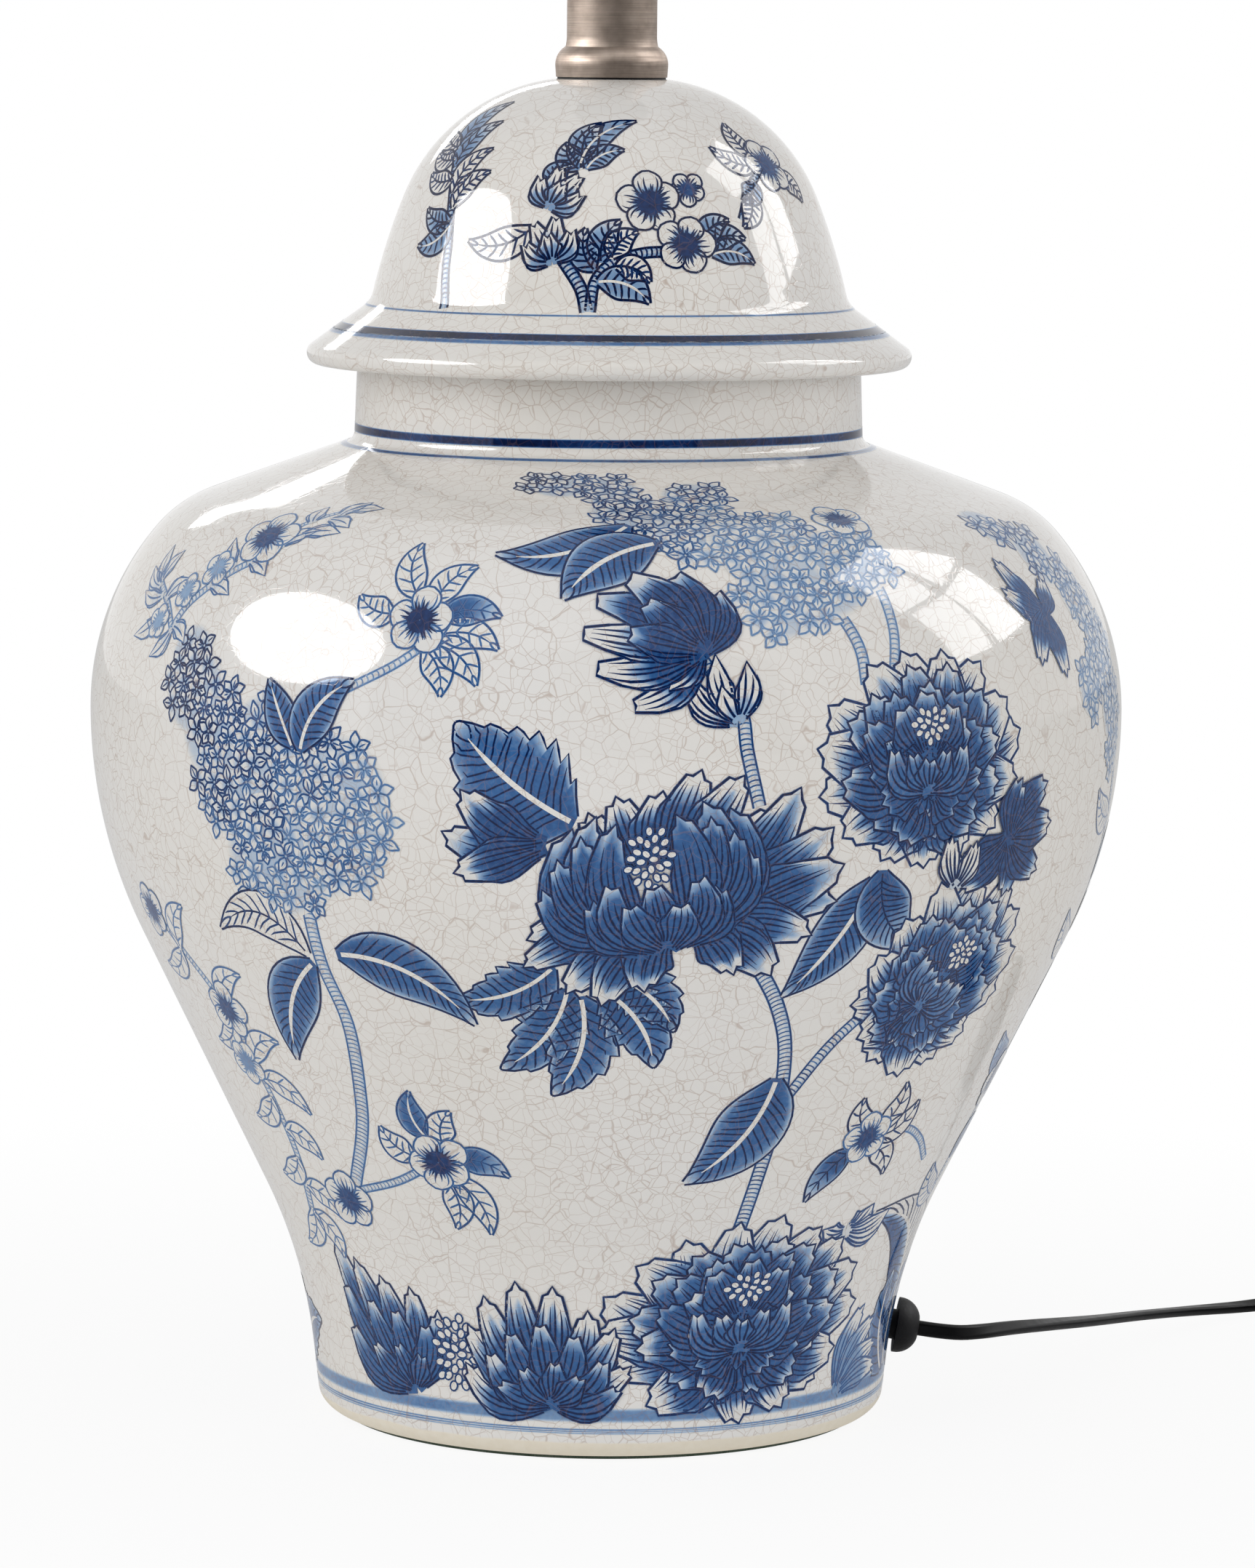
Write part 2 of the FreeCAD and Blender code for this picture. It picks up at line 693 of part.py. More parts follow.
wire_start = inner_points[-1].z
wire_end = disc_bottom - terminal_height
core_wires = []
for side in (-1, 1):
    near, far = side * core_spacing / 2, side * terminal_offset
    wire_points = [V(0, near, wire_start), V(0, near, wire_start + wire_end_run),
                   V(0, far, wire_end - wire_end_run), V(0, far, wire_end)]
    core_wires.append(tube_along(wire_points, core_radius, "core_wire"))
export("core_wires", Part.makeCompound(core_wires))

# ----------------------------------------------------------------- the put-away coil

# The lead winds clockwise, seen from above. Its radius falls and rises again at a
# steady rate, a layer each way, and it climbs in the half turn round each reversal.
entry_angle = 90.0 + arrival
all_turns = coil_full_turns + entry_angle / 360
layer_turns = all_turns / coil_layers
climb_half = 0.25           # turns, each side of a reversal
arc_turns = 0.26            # the most that one pair of arcs spans


def coil_state(turn):
    """Position and heading on the coil after a number of turns."""
    layer = min(int(turn / layer_turns + 1e-9), coil_layers - 1)
    within = turn - layer * layer_turns
    inwards = layer % 2 == 0
    radius = coil_outer_radius - coil_pitch * (within if inwards else layer_turns - within)
    nearest = round(turn / layer_turns)
    climbing = nearest in range(1, coil_layers) and abs(turn - nearest * layer_turns) < climb_half - 1e-6
    level = layer if not climbing else nearest - 0.5
    angle = math.radians(entry_angle - 360 * turn)
    outward = V(math.cos(angle), math.sin(angle), 0)
    heading = V(math.sin(angle), -math.cos(angle), 0) * (2 * math.pi * radius)
    heading = heading + outward * (-coil_pitch if inwards else coil_pitch)
    return coil_centre + outward * radius + V(0, 0, level * layer_step), heading.normalize()


def coil_stations():
    """Turn counts at which the winding's arcs meet: about a quarter turn apart."""
    stations = []
    for layer in range(coil_layers):
        begin = layer * layer_turns + (climb_half if layer else 0)
        end = (layer + 1) * layer_turns - (climb_half if layer < coil_layers - 1 else 0)
        steps = max(1, math.ceil((end - begin) / arc_turns))
        stations += [begin + (end - begin) * step / steps for step in range(steps + 1)]
    return stations


def arc_from(start, heading, end):
    """Arc that leaves start along heading and reaches end."""
    chord = end - start
    along = V(chord).normalize()
    lean = heading.getAngle(chord)
    sideways = heading - along * heading.dot(along)
    if lean < 1e-6:
        return Part.LineSegment(start, end).toShape()
    middle = start + chord * 0.5 + sideways.normalize() * (chord.Length / 2 * math.tan(lean / 2))
    return Part.Arc(start, middle, end).toShape()


def biarc(start, start_way, end, end_way):
    """Two tangent arcs between two points with given headings."""
    gap = end - start
    both = start_way + end_way
    spare = 2 * (1 - start_way.dot(end_way))
    linear = gap.dot(both)
    reach = (-linear + math.sqrt(linear ** 2 + spare * gap.dot(gap))) / spare
    joint = (start + start_way * reach + end - end_way * reach) * 0.5
    first = arc_from(start, start_way, joint)
    back = arc_from(end, end_way * -1, joint)
    middle = back.valueAt((back.FirstParameter + back.LastParameter) / 2)
    return [first, Part.Arc(joint, middle, end).toShape()]


def coil_path():
    """The whole winding as one wire, with a straight stub at each end."""
    stations = coil_stations()
    states = [coil_state(stations[0])]
    for turn in stations[1:]:
        states.append(coil_state(turn))
    begin, begin_way = states[0][0], arrival_way
    end, end_way = states[-1][0], V(0, -1, 0)
    states[0] = (begin, begin_way)
    states[-1] = (end, end_way)
    edges = [Part.LineSegment(begin - begin_way * coil_stub, begin).toShape()]
    for (here, way), (there, next_way) in zip(states, states[1:]):
        edges += biarc(here, way, there, next_way)
    edges.append(Part.LineSegment(end, end + end_way * coil_stub).toShape())
    return edges, end + end_way * coil_stub


gap_sample_step = 2.0


def least_gap(edges, radius):
    """Smallest clear gap between two stretches of the winding, on points along it."""
    points = []
    travelled = []
    total = 0.0
    for edge in edges:
        steps = max(2, int(edge.Length / gap_sample_step))
        for step in range(steps):
            parameter = edge.FirstParameter + (edge.LastParameter - edge.FirstParameter) * step / steps
            points.append(edge.valueAt(parameter))
            travelled.append(total + edge.Length * step / steps)
        total += edge.Length
    nearest = total
    apart = 2 * math.pi * radius * 3    # a stretch isn't compared with what it runs into
    for i, point in enumerate(points):
        for j in range(i + 1, len(points)):
            if travelled[j] - travelled[i] > apart:
                nearest = min(nearest, (points[j] - point).Length)
    return nearest - 2 * radius, total


coil_edges, coil_exit = coil_path()
coil_gap, coil_length = least_gap(coil_edges, cord_radius)
print("cord_coil least gap to itself", round(coil_gap, 3), "length", round(coil_length, 1),
      "turns", round(all_turns, 2))
coil_start = coil_edges[0].valueAt(coil_edges[0].FirstParameter)
export("cord_coil", sweep(Part.Wire(coil_edges), cord_radius, coil_start, arrival_way))

# Tie: a band round all the turns at one place
tie_inner_radius = coil_outer_radius - layer_turns * coil_pitch - cord_radius - tie_play
tie_outer_radius = coil_outer_radius + cord_radius + tie_play
tie_bottom = tie_thickness
tie_top = coil_base + (coil_layers - 1) * layer_step + cord_radius + tie_play


def tie_block(grow, width):
    """Upright block across the bundle of turns, rounded along the cord."""
    across = tie_outer_radius - tie_inner_radius + 2 * grow
    tall = tie_top - tie_bottom + 2 * grow
    block = Part.makeBox(across, width, tall, V(tie_inner_radius - grow, -width / 2, tie_bottom - grow))
    corners = [edge for edge in block.Edges if abs(edge.Length - width) < 1e-6]
    return block.makeFillet(tie_corner_radius + grow, corners)


cable_tie = tie_block(tie_thickness, tie_width).cut(tie_block(0.0, 2 * tie_width))
cable_tie.rotate(V(0, 0, 0), V(0, 0, 1), tie_angle)
cable_tie.translate(V(coil_centre.x, coil_centre.y, 0))
export("cable_tie", cable_tie)

# ----------------------------------------------------------------- tail and the plug

plug_axis_height = plug_thickness / 2
plug_x = coil_exit.x
tail_drop = 26.0
tail_end_run = 15.0
boot_end = coil_exit.y - 2 * tail_end_run - tail_drop
tail_points = [
    coil_exit,
    coil_exit + V(0, -tail_end_run, 0),
    V(plug_x, boot_end + tail_end_run, plug_axis_height),
    V(plug_x, boot_end, plug_axis_height),
]
export("cord_tail", tube_along(tail_points, cord_radius, "cord_tail"))

back_y = boot_end - boot_length
face_y = back_y - plug_length
grip_y = face_y + plug_grip_start
outline = [(plug_width / 2, face_y), (plug_width / 2, grip_y),
           (plug_back_width / 2, back_y), (-plug_back_width / 2, back_y),
           (-plug_width / 2, grip_y), (-plug_width / 2, face_y)]
flat_form = Part.Face(Part.makePolygon([V(plug_x + x, y, 0) for x, y in outline + outline[:1]]))
flat_form = flat_form.extrude(V(0, 0, plug_thickness))
half_thick, half_back = plug_thickness / 2, plug_back_thickness / 2
profile = [(face_y, -half_thick), (grip_y, -half_thick), (back_y, -half_back),
           (back_y, half_back), (grip_y, half_thick), (face_y, half_thick)]
side_form = Part.Face(Part.makePolygon([V(plug_x - plug_width, y, plug_axis_height + z)
                                        for y, z in profile + profile[:1]])).extrude(V(2 * plug_width, 0, 0))
plug_form = flat_form.common(side_form)


def runs_lengthwise(edge):
    """True for the four long edges from the plug's face to its back."""
    a, b = edge.Vertexes[0].Point, edge.Vertexes[-1].Point
    return abs(a.y - b.y) > 1.0


plug_form = plug_form.makeFillet(plug_round, [edge for edge in plug_form.Edges if runs_lengthwise(edge)])


def boot_radius_at(share):
    """Radius of the plug's strain relief, from the plug (0) to its end (1)."""
    return boot_front_radius + (boot_back_radius - boot_front_radius) * share


boot_start = V(plug_x, back_y, plug_axis_height)
boot = Part.makeCone(boot_front_radius, boot_back_radius, boot_length, boot_start, V(0, 1, 0))
for rib in range(boot_ribs):
    share = (rib + 1) / (boot_ribs + 1)
    centre = V(plug_x, back_y + boot_length * share - rib_width / 2, plug_axis_height)
    groove = Part.makeCylinder(boot_front_radius + 1, rib_width, centre, V(0, 1, 0))
    core = Part.makeCylinder(boot_radius_at(share) - rib_depth, rib_width, centre, V(0, 1, 0))
    boot = boot.cut(groove.cut(core))
export("plug_body", plug_form.fuse(boot).removeSplitter())

plug_pins = []
pin_sleeves = []
for side in (-1, 1):
    foot = V(plug_x + side * pin_spacing / 2, face_y, plug_axis_height)
    pin = Part.makeCylinder(pin_radius, pin_length, foot, V(0, -1, 0))
    slim = Part.makeCylinder(pin_radius, sleeve_length, foot, V(0, -1, 0))
    sleeve = slim.cut(Part.makeCylinder(pin_radius - sleeve_wall, sleeve_length, foot, V(0, -1, 0)))
    tip = [edge for edge in pin.Edges if edge.Closed and edge.BoundBox.YMax < face_y - pin_length / 2]
    pin = pin.makeFillet(pin_tip_radius, tip).cut(sleeve)
    plug_pins.append(pin)
    pin_sleeves.append(sleeve)
export("plug_pins", Part.makeCompound(plug_pins))
export("pin_sleeves", Part.makeCompound(pin_sleeves))

print("lid top", round(lid_top, 2), "neck top", round(neck_top, 2), "height", round(shell_top, 2),
      "belly", belly_radius, "collar top", round(collar_top, 2), "tube top", round(tube_top, 2))
print("grommet tip", grommet_tip, "coil entry", coil_entry, "coil exit", coil_exit)
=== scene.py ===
import json
import math

import bpy
import numpy as np
from mathutils import Matrix, Vector


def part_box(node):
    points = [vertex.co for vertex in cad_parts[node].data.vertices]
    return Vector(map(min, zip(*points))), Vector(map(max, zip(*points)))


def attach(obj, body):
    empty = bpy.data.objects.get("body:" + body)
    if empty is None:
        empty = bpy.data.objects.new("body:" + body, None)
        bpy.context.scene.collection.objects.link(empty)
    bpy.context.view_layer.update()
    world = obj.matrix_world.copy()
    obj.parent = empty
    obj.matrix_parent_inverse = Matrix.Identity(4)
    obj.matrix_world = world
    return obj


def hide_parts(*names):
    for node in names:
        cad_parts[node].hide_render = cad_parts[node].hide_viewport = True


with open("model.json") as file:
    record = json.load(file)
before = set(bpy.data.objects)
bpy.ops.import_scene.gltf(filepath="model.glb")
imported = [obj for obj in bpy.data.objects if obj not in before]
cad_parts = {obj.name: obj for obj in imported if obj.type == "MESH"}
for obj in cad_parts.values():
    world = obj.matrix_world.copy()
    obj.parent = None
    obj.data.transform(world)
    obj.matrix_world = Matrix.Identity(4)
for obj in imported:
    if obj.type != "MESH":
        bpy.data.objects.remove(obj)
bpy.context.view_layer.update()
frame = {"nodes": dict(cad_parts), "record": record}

# A glazed ginger jar lamp with a painted pattern. Lengths are millimetres, and MM turns
# them into the frame's metres. Azimuth 0 faces the camera, and grows to the right.

MM = 0.001
rng = np.random.default_rng(7)

# ------------------------------------------------------------------ driving dimensions

CAMERA_PLACE = (6.0, -1800.0, 383.0)
CAMERA_PITCH = 6.69             # degrees down
CAMERA_ROLL = 0.52              # degrees, counter-clockwise seen from behind it
CAMERA_LENS = 152.5             # on a 36 mm sensor

FOOT_RADIUS, FOOT_EDGE_RADIUS, FOOT_LEAN, FOOT_RUN = 77.6, 5.5, 6.0, 10.0
FLARE_RADIUS, FLANK_LEAN = 144.0, 26.0
BELLY_RADIUS = 140.0
LOWER_BELLY_RADIUS, UPPER_BELLY_RADIUS, UPPER_BELLY_LEAN = 138.0, 75.0, 40.0
SHOULDER_RADIUS, SHOULDER_LEAN = 34.0, 70.0
NECK_RADIUS, NECK_FILLET, NECK_LEAN, NECK_RUN = 68.8, 3.0, 2.0, 22.5
JAR_WALL, JAR_FLOOR_BOTTOM, JAR_FLOOR_TOP = 6.0, 44.0, 52.0
FOOT_WALL, FOOT_STEP = 8.0, 6.0  # wall below the floor, and the straight edge inside the foot
LID_RIM_RADIUS, LID_ROLL, LID_FLARE_LEAN = 81.8, 3.0, 54.0
LID_WAIST_RADIUS, LID_FILLET, LID_WAIST_LEAN = 64.0, 7.0, 13.0
LID_SIDE_RADIUS, LID_CROWN_LEAN, LID_CROWN_RADIUS = 174.0, 22.0, 51.0
LID_SEAT_RADIUS, LID_WALL, LID_SKIRT_BORE, LID_SKIRT_HEIGHT = 15.6, 5.5, 70.1, 5.5
ROD_HOLE_RADIUS = 5.6
UNGLAZED_HEIGHT = 5.4
SHARP_EDGE = 30.0               # degrees
SAG = 0.005                     # how far a facet of the outline may leave its arc
LATHE_SEGMENTS = 360

CORD_WIDTH = 4.2
CORD_THICKNESS = 2.8

# ------------------------------------------------------------------------ mesh helpers


def cosd(degrees):
    return math.cos(math.radians(degrees))


def sind(degrees):
    return math.sin(math.radians(degrees))


def heading(angle):
    """Unit vector at an angle in radians."""
    return np.array([math.cos(angle), math.sin(angle)])


def add(name, data):
    """A new object, linked to the scene."""
    piece = bpy.data.objects.new(name, data)
    bpy.context.scene.collection.objects.link(piece)
    return piece


def glazed_object(name, points, quads, material):
    """A piece of the glazed ceramic from points in millimetres and faces of four corners."""
    mesh = bpy.data.meshes.new(name)
    mesh.vertices.add(len(points))
    mesh.vertices.foreach_set("co", (np.asarray(points) * MM).ravel())
    mesh.loops.add(quads.size)
    mesh.loops.foreach_set("vertex_index", quads.ravel())
    mesh.polygons.add(len(quads))
    mesh.polygons.foreach_set("loop_start", np.arange(0, quads.size, 4))
    mesh.update(calc_edges=True)
    mesh.materials.append(material)
    piece = add(name, mesh)
    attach(piece, "lamp")
    return piece


def reach(radius, lean_a, lean_b):
    """Outward travel of a bend between two leans from the vertical."""
    return radius * abs(cosd(lean_a) - cosd(lean_b))


def walk(start, lean, steps):
    """Rows of (radius, height, lean) along an outline of straight runs and tangent bends."""
    rows = [(start[0], start[1], lean)]
    for step in steps:
        radius, height, _ = rows[-1]
        if step[0] == "run":
            count = max(1, round(step[1] / 4))
            way = math.radians(lean)
            for i in range(1, count + 1):
                run = step[1] * i / count
                rows.append((radius + math.sin(way) * run, height + math.cos(way) * run, lean))
            continue
        bend, new_lean = step[1], step[2]
        side = 1 if new_lean < lean else -1
        centre_r = radius - cosd(lean) * side * bend
        centre_z = height + sind(lean) * side * bend
        length = bend * abs(math.radians(new_lean - lean))
        count = max(3, round(length / math.sqrt(8 * bend * SAG)))
        for i in range(1, count + 1):
            now = lean + (new_lean - lean) * i / count
            rows.append((centre_r + cosd(now) * side * bend,
                         centre_z - sind(now) * side * bend, now))
        lean = new_lean
    return rows


def shrunk(rows, wall):
    """The same outline moved in by a wall, without the leans."""
    return [(r - cosd(lean) * wall, z + sind(lean) * wall)
            for r, z, lean in rows]


class Surface:
    """A glazed surface of revolution, looked up by length along its outline."""

    def __init__(self, rows):
        self.radius, self.height, self.lean = np.array(rows).T
        steps = np.hypot(np.diff(self.radius), np.diff(self.height))
        self.length = np.concatenate([[0], np.cumsum(steps)])

    def at(self, length):
        """Radius, height, and the outward normal's two parts."""
        lean = np.radians(np.interp(length, self.length, self.lean))
        return (np.interp(length, self.length, self.radius), np.interp(length, self.length, self.height),
                np.cos(lean), -np.sin(lean))

    def length_at(self, height):
        return np.interp(height, self.height, self.length)


def lathe(name, outside, inside, material, node):
    """A closed turned piece in place of a CAD node. Most of its own map shows the outside."""
    segments, inside_share = LATHE_SEGMENTS, 0.1
    loop = np.array([row[:2] for row in outside] + inside)
    turn = 2 * math.pi * np.arange(segments) / segments
    points = np.stack([loop[:, :1] * np.sin(turn), loop[:, :1] * -np.cos(turn),
                       np.repeat(loop[:, 1:], segments, 1)], -1).reshape(-1, 3)
    i, j = np.meshgrid(np.arange(len(loop)), np.arange(segments), indexing="ij")
    up, right = (i + 1) % len(loop), (j + 1) % segments
    low, high = i * segments, up * segments
    quads = np.stack([low + j, low + right, high + right, high + j], -1)
    piece = glazed_object(name, points, quads.reshape(-1, 4), material)
    share = np.concatenate([np.linspace(0, 1 - inside_share, len(outside)),
                            np.linspace(1 - inside_share, 1, len(inside) + 2)[1:]])
    corners = ((0, 0), (1, 0), (1, 1), (0, 1))
    uv = np.stack([np.stack([(j + a) / segments, share[i + b]], -1) for a, b in corners], 2)
    layer = piece.data.uv_layers.new(name="OFBake")
    layer.uv.foreach_set("vector", uv.astype(np.float32).ravel())
    piece.data.set_sharp_from_angle(angle=math.radians(SHARP_EDGE))
    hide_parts(node)


# ---------------------------------------------------------------------- material helpers


def paint(red, green, blue):
    """Scene colour of an 8-bit colour."""
    shares = [v / 255 for v in (red, green, blue)]
    return tuple(v / 12.92 if v <= 0.04045 else ((v + 0.055) / 1.055) ** 2.4 for v in shares) + (1.0,)


class Shader:
    """A material under construction, with short calls for its nodes."""

    def __init__(self, name, **values):
        self.material = bpy.data.materials.new(name)
        self.material.use_nodes = True
        self.tree = self.material.node_tree
        self.surface = self.tree.nodes["Principled BSDF"]
        self.place = self.node("TexCoord").outputs["Object"]
        self.wear(**values)

    def feed(self, socket, value):
        """Link a socket to another, or set its value."""
        if isinstance(value, bpy.types.NodeSocket):
            self.tree.links.new(value, socket)
        else:
            socket.default_value = value

    def node(self, kind, inputs=None, **settings):
        made = self.tree.nodes.new("ShaderNode" + kind)
        for key, value in settings.items():
            setattr(made, key, value)
        for key, value in (inputs or {}).items():
            self.feed(made.inputs[key], value)
        return made

    def noise(self, scale, detail=3.0, place=None):
        inputs = {"Vector": place or self.place, "Scale": scale, "Detail": detail}
        return self.node("TexNoise", inputs).outputs["Fac"]

    def span(self, value, low, high, to_low, to_high):
        """Straight map from one range to another, held at its ends."""
        inputs = {"Value": value, "From Min": low, "From Max": high, "To Min": to_low, "To Max": to_high}
        return self.node("MapRange", inputs).outputs["Result"]

    def calc(self, operation, a, b, c=0.0):
        return self.node("Math", {0: a, 1: b, 2: c}, operation=operation).outputs[0]

    def mix(self, share, a, b, blend="MIX"):
        return self.node("Mix", {0: share, 6: a, 7: b}, data_type="RGBA", blend_type=blend).outputs[2]

    def stretched(self, x, y, z):
        return self.node("VectorMath", {0: self.place, 1: (x, y, z)}, operation="MULTIPLY").outputs[0]

    def bump(self, height, metres):
        made = self.node("Bump", {"Height": height, "Distance": metres, "Strength": 1.0})
        self.feed(self.surface.inputs["Normal"], made.outputs["Normal"])

    def glow(self, strength):
        return self.node("Emission", {"Color": (1, 1, 1, 1), "Strength": strength}).outputs[0]

    def end(self, output):
        """Show this output in place of the surface alone."""
        self.feed(self.tree.nodes["Material Output"].inputs["Surface"], output)

    def wear(self, **values):
        """Feed the surface's own sockets."""
        for socket, value in values.items():
            self.feed(self.surface.inputs[socket.replace("_", " ")], value)


GLAZE_WHITE = (243, 241, 238)
INK_DEPTHS = ((0.03, (239, 237, 233)), (0.22, (152, 183, 218)), (0.5, (60, 108, 166)),
              (0.72, (22, 58, 114)), (0.86, (10, 32, 78)))
INK_DARKEST = (6, 20, 54)
CRACK_BROWN = (158, 120, 90)
CRACK_CELL, CRACK_WIDTH = 6.2, 0.15
FINE_CRACK_CELL, FINE_CRACK_WIDTH = 3.4, 0.12
CRACK_WANDER = 3.0              # how far the cracks stray from straight edges


def glaze_material():
    """Off-white glaze, its ink in several depths of blue, and a fine brown crackle."""
    shader = Shader("crackled_glaze", IOR=1.5, Specular_IOR_Level=0.32)
    inputs = {"Vector": shader.place, "Scale": 130.0, "Detail": 2.0}
    wander = shader.node("TexNoise", inputs).outputs["Color"]
    centred = shader.node("VectorMath", {0: wander, 1: (0.5, 0.5, 0.5)}, operation="SUBTRACT").outputs[0]
    moved = shader.node("VectorMath", {0: centred, 1: (CRACK_WANDER * MM,) * 3, 2: shader.place},
                        operation="MULTIPLY_ADD").outputs[0]

    def cracks(cell, width):
        inputs = {"Vector": moved, "Scale": 1 / (cell * MM), "Randomness": 1.0}
        edge = shader.node("TexVoronoi", inputs, feature="DISTANCE_TO_EDGE").outputs["Distance"]
        return shader.span(edge, 0.0, width / cell, 1.0, 0.0)

    patchy = shader.span(shader.noise(32.0), 0.35, 0.65, 0.35, 1.0)
    long_cracks = shader.calc("MULTIPLY", cracks(CRACK_CELL, CRACK_WIDTH), 0.9)
    fine_cracks = shader.calc("MULTIPLY", cracks(FINE_CRACK_CELL, FINE_CRACK_WIDTH), patchy)
    crack = shader.calc("MAXIMUM", long_cracks, fine_cracks)

    ink = shader.node("Attribute", attribute_name="ink").outputs["Fac"]
    uneven = shader.span(shader.noise(700.0, 4.0), 0.3, 0.7, 0.90, 1.08)
    depth = shader.calc("MULTIPLY", ink, uneven)
    ramp = shader.node("ValToRGB", {"Fac": depth})
    stops = ramp.color_ramp.elements
    stops[0].color = paint(*GLAZE_WHITE)
    stops[1].color = paint(*INK_DARKEST)
    for position, colour in INK_DEPTHS:
        stops.new(position).color = paint(*colour)
    cloudy = shader.span(shader.noise(9.0), 0.3, 0.7, 0.0, 1.0)
    tint = shader.mix(cloudy, paint(251, 249, 245), paint(255, 255, 255))
    toned = shader.mix(1.0, ramp.outputs["Color"], tint, "MULTIPLY")
    hidden = shader.span(ink, 0.2, 0.9, 0.5, 0.14)
    crazed = shader.mix(shader.calc("MULTIPLY", crack, hidden), toned, paint(*CRACK_BROWN))
    height = shader.node("SeparateXYZ", {0: shader.place}).outputs["Z"]
    ragged = shader.calc("MULTIPLY_ADD", shader.noise(60.0), 1.6 * MM, height)
    bare = shader.span(ragged, (UNGLAZED_HEIGHT + 0.6) * MM, (UNGLAZED_HEIGHT + 1.2) * MM, 1.0, 0.0)
    clay = shader.mix(shader.noise(420.0), paint(246, 239, 224), paint(236, 226, 206))
    shader.wear(Base_Color=shader.mix(bare, crazed, clay),
                Roughness=shader.span(bare, 0.0, 1.0, 0.035, 0.75))
    shader.bump(shader.calc("MULTIPLY_ADD", crack, -0.05, shader.noise(34.0, 2.0)), 0.00008)
    return shader.material


# ------------------------------------------------------------------- painting the glaze

FIRST_LIFT = 0.03               # the first layer of ink stands this far off the glaze
LIFT_STEP = 0.005               # and each next layer this much further
STROKE_SPREAD = 1.25            # strokes are this much wider than asked, as they fade at both sides
STROKE_FADE = np.array([0.6, 1.0, 0.6])


class Paint:
    """Thin layers of ink on a glazed surface, gathered into one piece."""

    def __init__(self, name, surface):
        self.name, self.surface = name, surface
        self.points, self.normals, self.inks, self.quads = [], [], [], []
        self.count = 0

    def grid(self, turn, length, level, ink):
        """A patch from grids of azimuth in radians, length along the outline, and ink."""
        radius, height, out, up = self.surface.at(length)
        lift = FIRST_LIFT + LIFT_STEP * level
        r = radius + out * lift
        points = np.stack([r * np.sin(turn), r * -np.cos(turn), height + up * lift], -1)
        normals = np.stack([out * np.sin(turn), out * -np.cos(turn), up], -1)
        rows, columns = turn.shape
        k = np.arange(rows * columns).reshape(rows, columns)
        quads = np.stack([k[:-1, :-1], k[:-1, 1:], k[1:, 1:], k[1:, :-1]], -1).reshape(-1, 4)
        flat = np.stack([turn * radius, length], -1).reshape(-1, 2)
        across, along = flat[quads[:, 2]] - flat[quads[:, 0]], flat[quads[:, 3]] - flat[quads[:, 1]]
        inside_out = across[:, 0] * along[:, 1] - across[:, 1] * along[:, 0] < 0
        quads[inside_out] = quads[inside_out][:, ::-1]
        self.points.append(points.reshape(-1, 3))
        self.normals.append(normals.reshape(-1, 3))
        self.inks.append(np.broadcast_to(ink, turn.shape).ravel())
        self.quads.append(quads + self.count)
        self.count += rows * columns

    def finish(self, material):
        """The gathered piece, shaded with the glaze's own normals."""
        points, quads = np.concatenate(self.points), np.concatenate(self.quads)
        piece = glazed_object(self.name, points, quads, material)
        inks = piece.data.attributes.new("ink", "FLOAT", "POINT")
        inks.data.foreach_set("value", np.concatenate(self.inks).astype(np.float32))
        piece.data.normals_split_custom_set_from_vertices(np.concatenate(self.normals))


class Brush:
    """Draws flat shapes, millimetres right and up from a spot, on a surface."""

    def __init__(self, paint_piece, azimuth, height, turn=0.0, level=0):
        self.paint, self.level = paint_piece, level
        self.azimuth = math.radians(azimuth)
        self.length = paint_piece.surface.length_at(height)
        self.cos, self.sin = cosd(turn), sind(turn)

    def spot(self, azimuth, height):
        """Flat place of a spot on the surface, for a brush with no turn."""
        length = self.paint.surface.length_at(height)
        radius = self.paint.surface.at(length)[0]
        return np.array([(math.radians(azimuth) - self.azimuth) * radius, length - self.length])

    def lay(self, flat, ink):
        """A patch from a flat grid of points, and its ink."""
        grid = np.concatenate([flat, np.broadcast_to(ink, flat.shape[:2])[..., None]], -1)
        grid = finer(finer(grid).swapaxes(0, 1)).swapaxes(0, 1)
        x, y = grid[..., 0], grid[..., 1]
        length = self.length + x * self.sin + y * self.cos
        turn = self.azimuth + (x * self.cos - y * self.sin) / self.paint.surface.at(length)[0]
        self.paint.grid(turn, length, self.level, grid[..., 2])

    def line(self, flat, width, ink, thin_end=1.0):
        """A stroke along points, whose width falls to a share at its end."""
        share = np.linspace(0, 1, len(flat))
        ends = np.minimum(1.0, thin_end + (1 - thin_end) * (1 - share) * 4)
        half = (ends * STROKE_SPREAD * width / 2)[:, None]
        side = sideways(flat)
        shares = np.array([-1.0, 0.0, 1.0])[:, None]
        stroke = flat[:, None] + (side * half)[:, None] * shares
        self.lay(stroke, np.broadcast_to(ink * STROKE_FADE, stroke.shape[:2]))


def finer(grid, step=1.9):
    """More rows in a grid, so that none is further than a step from the next."""
    widest = np.hypot(*np.moveaxis(np.diff(grid[..., :2], axis=0), -1, 0)).max()
    parts = math.ceil(widest / step)
    if parts < 2:
        return grid
    at = np.linspace(0, len(grid) - 1, (len(grid) - 1) * parts + 1)
    low = np.minimum(at.astype(int), len(grid) - 2)
    share = (at - low)[:, None, None]
    return grid[low] * (1 - share) + grid[low + 1] * share


def sideways(flat):
    """Unit vectors square to a row of points, to their left."""
    along = np.gradient(flat, axis=0)
    along /= np.maximum(np.hypot(along[:, 0], along[:, 1]), 1e-9)[:, None]
    return np.stack([-along[:, 1], along[:, 0]], -1)


